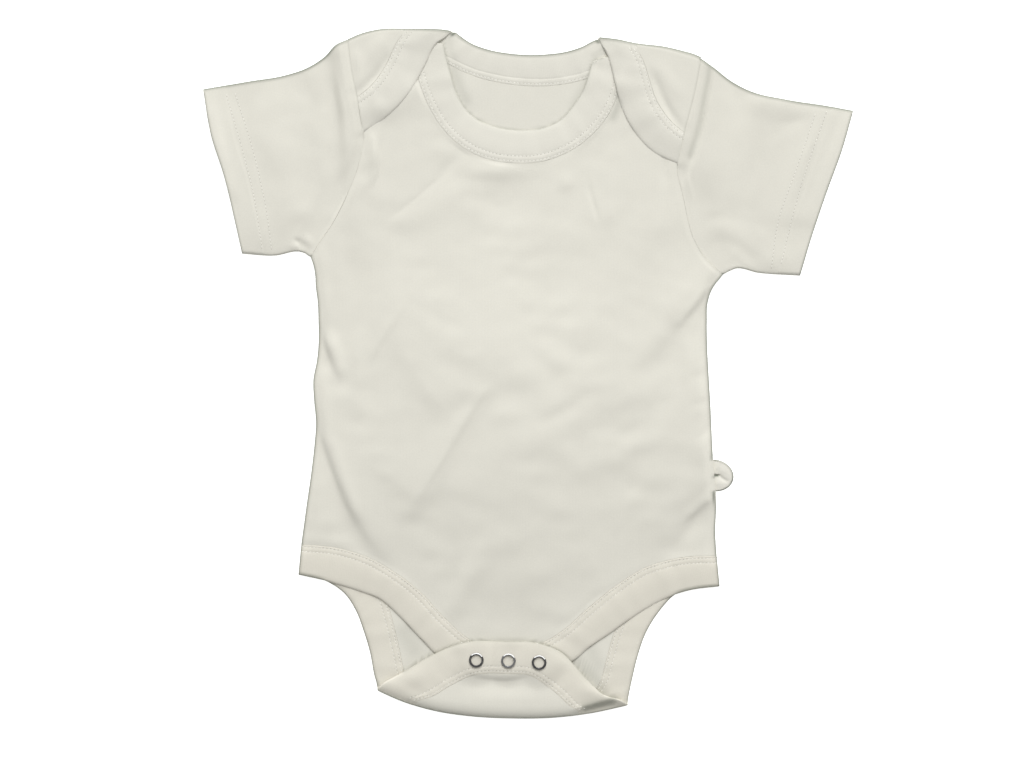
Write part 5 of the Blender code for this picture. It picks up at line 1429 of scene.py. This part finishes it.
def stitchMesh(name, rows):
    # every stitch is a small bead: rings of places that swell and close again, bent down at its ends
    look = stitchLook
    middle, along, normal, size, halfPitch = [np.concatenate(part) for part in zip(*rows)]
    aside = unit(np.cross(normal, along))
    sides, tail = look["beadSides"], (len(look["beadRings"]) - 1) * look["beadSides"]
    angle = np.arange(sides) * 2 * np.pi / sides
    places = []
    for s, w in look["beadRings"]:
        for a in angle:
            lift = look["height"] * (w * math.sin(a) * 0.5 + 0.32 - 0.75 * s * s)
            places.append(
                middle + along * (s * look["length"] / 2 * size)[:, None]
                + aside * (w * math.cos(a) * look["width"] / 2) + normal * lift
            )
    for s in (-1.0, 1.0):
        places.append(middle + along * (s * look["length"] / 2 * size)[:, None] - normal * look["height"] * 0.5)
    # painted shade in the needle's hole after each stitch: a small dark disc just clear of the cloth
    hole = middle + along * halfPitch[:, None] + normal * look["holeUp"]
    for a in angle:
        places.append(hole + along * (math.cos(a) * look["holeLong"]) + aside * (math.sin(a) * look["holeWide"]))
    places = np.stack(places, axis=1)
    count = places.shape[1]
    turns = [(i, (i + 1) % sides) for i in range(sides)]
    faces = [(a + i, a + sides + i, a + sides + j, a + j) for a in range(0, tail, sides) for i, j in turns]
    first, last = tail + sides, tail + sides + 1
    for i, j in turns:
        faces += [(first, i, j), (last, tail + j, tail + i)]
    faces.append(tuple(range(last + 1, last + 1 + sides)))
    allFaces = []
    for start in range(0, len(middle) * count, count):
        allFaces += [tuple(v + start for v in face) for face in faces]
    made = newMesh(name, places.reshape(-1, 3), allFaces)
    isHole = np.arange(len(allFaces)) % len(faces) == len(faces) - 1
    made.data.polygons.foreach_set("material_index", isHole.astype(np.int32))
    return made


# Where the rows are looked for from: above everything, or from under the front
above, under = 20.0, 2.2


def bandStitches(name, cloth, strips):
    # two rows on each strip, or one at the distance that is given
    rows = []
    for stations, fromHeight, seed, slant, *only in strips:
        for k, distance in enumerate(only or (bandLook["firstRow"], bandLook["secondRow"])):
            line = besideSeam(stations, 300, distance + layers["seamGap"] / 2)
            rows.append(stitchRow(cloth, line, fromHeight, seed + k, slant))
    return stitchMesh(f"bodysuit_stitches_{name}", rows)


threadNeckBack = bandStitches("neck_back", bandNeckBack, [
    (neckBandBack, under, 101, 0.0, bandLook["firstRow"]), (lapBandLeft, above, 103, 0.0),
    (lapBandRight, above, 105, 0.0),
])
threadNeckFront = bandStitches("neck_front", bandNeckFront, [(neckBandFront, above, 107, 0.0)])
threadLegFront = bandStitches("leg_front", bandLegFront, [(legBandFront, above, 109, 0.35)])
threadLegBack = bandStitches("leg_back", bandLegBack, [
    (legBandBackLeft, under, 111, 0.2), (flapBand, above, 113, 0.35), (legBandBackRight, under, 115, 0.2),
])
hemLines = {
    "left": [
        [(-175.6, 162.6), (-167.2, 134.1), (-158.7, 100.3), (-154.5, 72.3)],
        [(-170.3, 163.0), (-159.4, 127.8), (-151.7, 92.8), (-148.9, 71.9)],
    ],
    "right": [
        [(173.6, 152.5), (158.3, 107.9), (147.0, 63.8)],
        [(167.0, 151.0), (156.9, 121.4), (144.8, 85.8), (141.3, 60.9)],
    ],
}
threadSleeves = {}
for way, cloth in (("left", sleeveLeft), ("right", sleeveRight)):
    rows = [stitchRow(cloth, alongLine(line, even(200)), above, 121 + i) for i, line in enumerate(hemLines[way])]
    threadSleeves[way] = stitchMesh(f"bodysuit_stitches_sleeve_{way}", rows)
print("stitches made")


# Surfaces
def nodeGroup(name, inputs, outputs):
    group = bpy.data.node_groups.new(name, "ShaderNodeTree")
    for label, kind, value in inputs:
        made = group.interface.new_socket(label, in_out="INPUT", socket_type=kind)
        if value is not None:
            made.default_value = value
    for label, kind in outputs:
        group.interface.new_socket(label, in_out="OUTPUT", socket_type=kind)
    return group, group.nodes.new("NodeGroupInput"), group.nodes.new("NodeGroupOutput")


def feed(tree, node, inputs):
    # each input gets its value, or a link from the output that is given for it
    for key, value in inputs.items():
        if isinstance(value, bpy.types.NodeSocket):
            tree.links.new(value, node.inputs[key])
        else:
            node.inputs[key].default_value = value
    return node


def mathNode(tree, operation, *values):
    node = tree.nodes.new("ShaderNodeMath")
    node.operation = operation
    return feed(tree, node, dict(enumerate(values))).outputs[0]


def noiseNode(tree, place, scale):
    node = tree.nodes.new("ShaderNodeTexNoise")
    return feed(tree, node, {"Vector": place, "Scale": scale, "Detail": 2}).outputs["Fac"]


def mixNode(tree, inputs, kind="RGBA", blend="MIX"):
    node = tree.nodes.new("ShaderNodeMix")
    node.data_type = kind
    node.blend_type = blend
    return feed(tree, node, inputs).outputs["Result"]


knitLook = {
    "slip": 0.5, "slipScale": 420, "slant": 1.6, "groove": 4.0, "bend": 0.4, "legHeight": 0.6, "softScale": 150,
    "fineScale": 1100, "fineShare": 0.7,
}


def knitGroup():
    # loops of a fine knit: V-shaped legs repeated across (wales) and along (courses), in metres
    group, given, out = nodeGroup(
        "knitLoops",
        [("Place", "NodeSocketVector", None), ("Wale", "NodeSocketFloat", 0.00075),
         ("Course", "NodeSocketFloat", 0.0006)],
        [("Height", "NodeSocketFloat"), ("Mottle", "NodeSocketFloat")],
    )
    look, place = knitLook, given.outputs["Place"]
    split = feed(group, group.nodes.new("ShaderNodeSeparateXYZ"), {0: place})
    slip = mathNode(group, "SUBTRACT", noiseNode(group, place, look["slipScale"]), 0.5)
    waleAt = mathNode(group, "DIVIDE", split.outputs[0], given.outputs["Wale"])
    waleAt = mathNode(group, "ADD", waleAt, mathNode(group, "MULTIPLY", slip, look["slip"]))
    leg = mathNode(group, "PINGPONG", waleAt, 0.5)
    courseAt = mathNode(group, "DIVIDE", split.outputs[1], given.outputs["Course"])
    slanted = mathNode(group, "ADD", courseAt, mathNode(group, "MULTIPLY", leg, look["slant"]))
    ridge = mathNode(group, "PINGPONG", slanted, 0.5)
    groove = mathNode(group, "SMOOTH_MIN", mathNode(group, "MULTIPLY", leg, look["groove"]), 1.0, look["bend"])
    height = mathNode(group, "MULTIPLY", groove, mathNode(group, "ADD", ridge, look["legHeight"]))
    soft, fine = (noiseNode(group, place, look[key]) for key in ("softScale", "fineScale"))
    soft = mathNode(group, "MULTIPLY", soft, 1 - look["fineShare"])
    mottle = mathNode(group, "MULTIPLY_ADD", fine, look["fineShare"], soft)
    feed(group, out, {"Height": height, "Mottle": mottle})
    return group


knit = knitGroup()


def clothMaterial(name, look):
    made = bpy.data.materials.new(name)
    made.use_nodes = True
    tree = made.node_tree
    shader = tree.nodes["Principled BSDF"]
    cut = tree.nodes.new("ShaderNodeUVMap")
    cut.uv_map = "cut"
    loops = tree.nodes.new("ShaderNodeGroup")
    loops.node_tree = knit
    feed(tree, loops, {"Wale": look["wale"], "Course": look["course"], "Place": cut.outputs[0]})
    dark, light = ([min(1, c * (1 + way * look["mottle"])) for c in look["colour"]] + [1] for way in (-1, 1))
    tint = mixNode(tree, {"A": dark, "B": light, "Factor": loops.outputs["Mottle"]})
    # painted shade: the 'edge' attribute darkens the colour towards a grey-green at the garment's edges and in shaded
    # folds and gaps
    edge = tree.nodes.new("ShaderNodeAttribute")
    edge.attribute_name = "edge"
    shaded = {"A": tint, "B": look["paintedShadeColour"] + (1,), "Factor": edge.outputs["Fac"]}
    bump = feed(tree, tree.nodes.new("ShaderNodeBump"), {
        "Strength": look["bump"], "Distance": look["depth"] * mm, "Height": loops.outputs["Height"],
    })
    feed(tree, shader, {
        "Base Color": mixNode(tree, shaded, blend="MULTIPLY"),
        "Normal": bump.outputs["Normal"],
        "Roughness": look["roughness"],
        "Sheen Weight": look["sheen"],
        "Sheen Roughness": 0.5,
        "Specular IOR Level": 0.2,
    })
    return made


clothLook = {"paintedShadeColour": (0.22, 0.25, 0.22), "mottle": 0.07, "bump": 0.5, "depth": 0.025, "sheen": 0.05}
bindingLook = clothLook | {"wale": 0.0010, "course": 0.0009, "roughness": 0.9}
surfaceLook = {
    "jersey": clothLook | {"colour": (0.722, 0.705, 0.628), "wale": 0.00085, "course": 0.0007, "roughness": 0.92},
    # painted shade: the leg bindings take a darker copy of the binding colour, for the dimmer light on the garment's
    # lower part
    "binding": bindingLook | {"colour": (0.722, 0.705, 0.630)},
    "leg_binding_shaded": bindingLook | {"colour": (0.712, 0.684, 0.598)},
    "tape": clothLook | {"colour": (0.74, 0.722, 0.65), "wale": 0.0006, "course": 0.0006, "depth": 0.04,
                         "roughness": 0.85, "sheen": 0.02},
}
surfaces = {name: clothMaterial(f"cloth_{name}", look) for name, look in surfaceLook.items()}


def plainMaterial(name, colour, roughness, metallic=0.0):
    made = bpy.data.materials.new(name)
    made.use_nodes = True
    given = {"Base Color": colour + (1,), "Roughness": roughness, "Metallic": metallic}
    feed(made.node_tree, made.node_tree.nodes["Principled BSDF"], given)
    return made


# Colour, roughness and how much of a metal it is
plainLook = {
    "stitch_thread": ((0.83, 0.815, 0.75), 0.8),
    "needle_hole_shade": ((0.48, 0.465, 0.40), 0.95),
    "snap_nickel": ((0.15, 0.15, 0.15), 0.3, 1.0),
    # painted highlight on the rings' outer slope towards the lamp
    "snap_painted_highlight": ((0.93, 0.93, 0.92), 0.35),
    "snap_nickel_pale": ((0.34, 0.34, 0.34), 0.3, 1.0),
    "floor_paper": ((0.95, 0.95, 0.95), 0.9),
}
plain = {name: plainMaterial(name, *look) for name, look in plainLook.items()}
paper = plain["floor_paper"].node_tree
feed(paper, paper.nodes["Principled BSDF"], {"Emission Color": (1, 1, 1, 1), "Emission Strength": 0.7})

threads = [threadNeckBack, threadNeckFront, threadLegFront, threadLegBack, *threadSleeves.values()]
covers = [
    ([frontPanel, backPanel, sleeveLeft, sleeveRight], [surfaces["jersey"]]),
    ([bandNeckBack, bandNeckFront], [surfaces["binding"]]),
    ([bandLegFront, bandLegBack], [surfaces["leg_binding_shaded"]]),
    ([sideLoop], [surfaces["tape"]]),
    (threads, [plain["stitch_thread"], plain["needle_hole_shade"]]),
    ([rings[0], rings[2]], [plain["snap_nickel"], plain["snap_painted_highlight"]]),
    ([rings[1]], [plain["snap_nickel_pale"], plain["snap_painted_highlight"]]),
]
for pieces, materials in covers:
    for made in pieces:
        for material in materials:
            made.data.materials.append(material)
for number in (1, 2, 3):
    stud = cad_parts[f"snap_stud_{number}"]
    for i in range(len(stud.data.materials)):
        stud.data.materials[i] = plain["snap_nickel"]

# What stands for what in the shared frame
stands = [
    (frontPanel, "front_panel", "jersey"),
    (backPanel, "back_panel", "jersey"),
    (sleeveLeft, "sleeve_left", "jersey"),
    (sleeveRight, "sleeve_right", "jersey"),
    (bandNeckBack, "neck_band_back", "binding"),
    (bandNeckFront, "neck_band_front", "binding"),
    (bandLegFront, "leg_band_front", "binding"),
    (bandLegBack, "leg_band_back", "binding"),
    (sideLoop, "side_loop", "tape"),
]
stands += [(ring, f"snap_ring_{i + 1}", "snap_metal") for i, ring in enumerate(rings)]
for made, node, slotName in stands:
    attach(made, "root")
    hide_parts(node)
for row in threads:
    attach(row, "root")

# Floor, light and camera
stageLook = {
    "floorHalf": 10.0, "floorZ": -0.0002, "skyStrength": 0.42, "lampLight": 4.18, "lampFar": 9.0, "lampUp": 33.0,
    "lampTurn": 7.0, "lampWide": 0.85, "cameraAt": (-0.0093, -0.0058, 1.605), "lens": 97.0,
}
half = stageLook["floorHalf"]
floor = newMesh(
    "floor",
    np.array([(-half, -half, 0), (half, -half, 0), (half, half, 0), (-half, half, 0)]) / mm,
    [(0, 1, 2, 3)],
    smooth=False,
)
floor.location.z = stageLook["floorZ"]
floor.data.materials.append(plain["floor_paper"])

world = bpy.data.worlds.new("studio")
bpy.context.scene.world = world
world.use_nodes = True
sky = world.node_tree
background = sky.nodes["Background"]
# the camera sees a white sky, and the cloth a dimmer one
seen = sky.nodes.new("ShaderNodeLightPath").outputs["Is Camera Ray"]
strength = mixNode(sky, {"A": stageLook["skyStrength"], "B": 1.0, "Factor": seen}, "FLOAT")
feed(sky, background, {"Strength": strength, "Color": (1, 1, 1, 1)})

# a wide round lamp: power = pi x distance^2 x the light that falls on a surface that faces it
lamp = bpy.data.lights.new("lamp", "AREA")
lamp.shape = "DISK"
lamp.energy = stageLook["lampLight"] * math.pi * stageLook["lampFar"] ** 2
lamp.size = 2 * stageLook["lampFar"] * math.tan(stageLook["lampWide"] / 2)
lampObject = bpy.data.objects.new("lamp", lamp)
bpy.context.scene.collection.objects.link(lampObject)
turn = math.radians(stageLook["lampTurn"])
up = math.radians(stageLook["lampUp"])
towards = mathutils.Vector((math.sin(turn) * math.cos(up), math.cos(turn) * math.cos(up), math.sin(up)))
lampObject.rotation_euler = towards.to_track_quat("Z", "Y").to_euler()
lampObject.location = towards * stageLook["lampFar"]

lens = bpy.data.cameras.new("camera")
lens.lens = stageLook["lens"]
lens.sensor_width = 36
camera = bpy.data.objects.new("camera", lens)
camera.location = stageLook["cameraAt"]
bpy.context.scene.collection.objects.link(camera)
bpy.context.scene.camera = camera
view = bpy.context.scene.view_settings
view.view_transform = "Standard"
view.look = "None"
print("stage made")
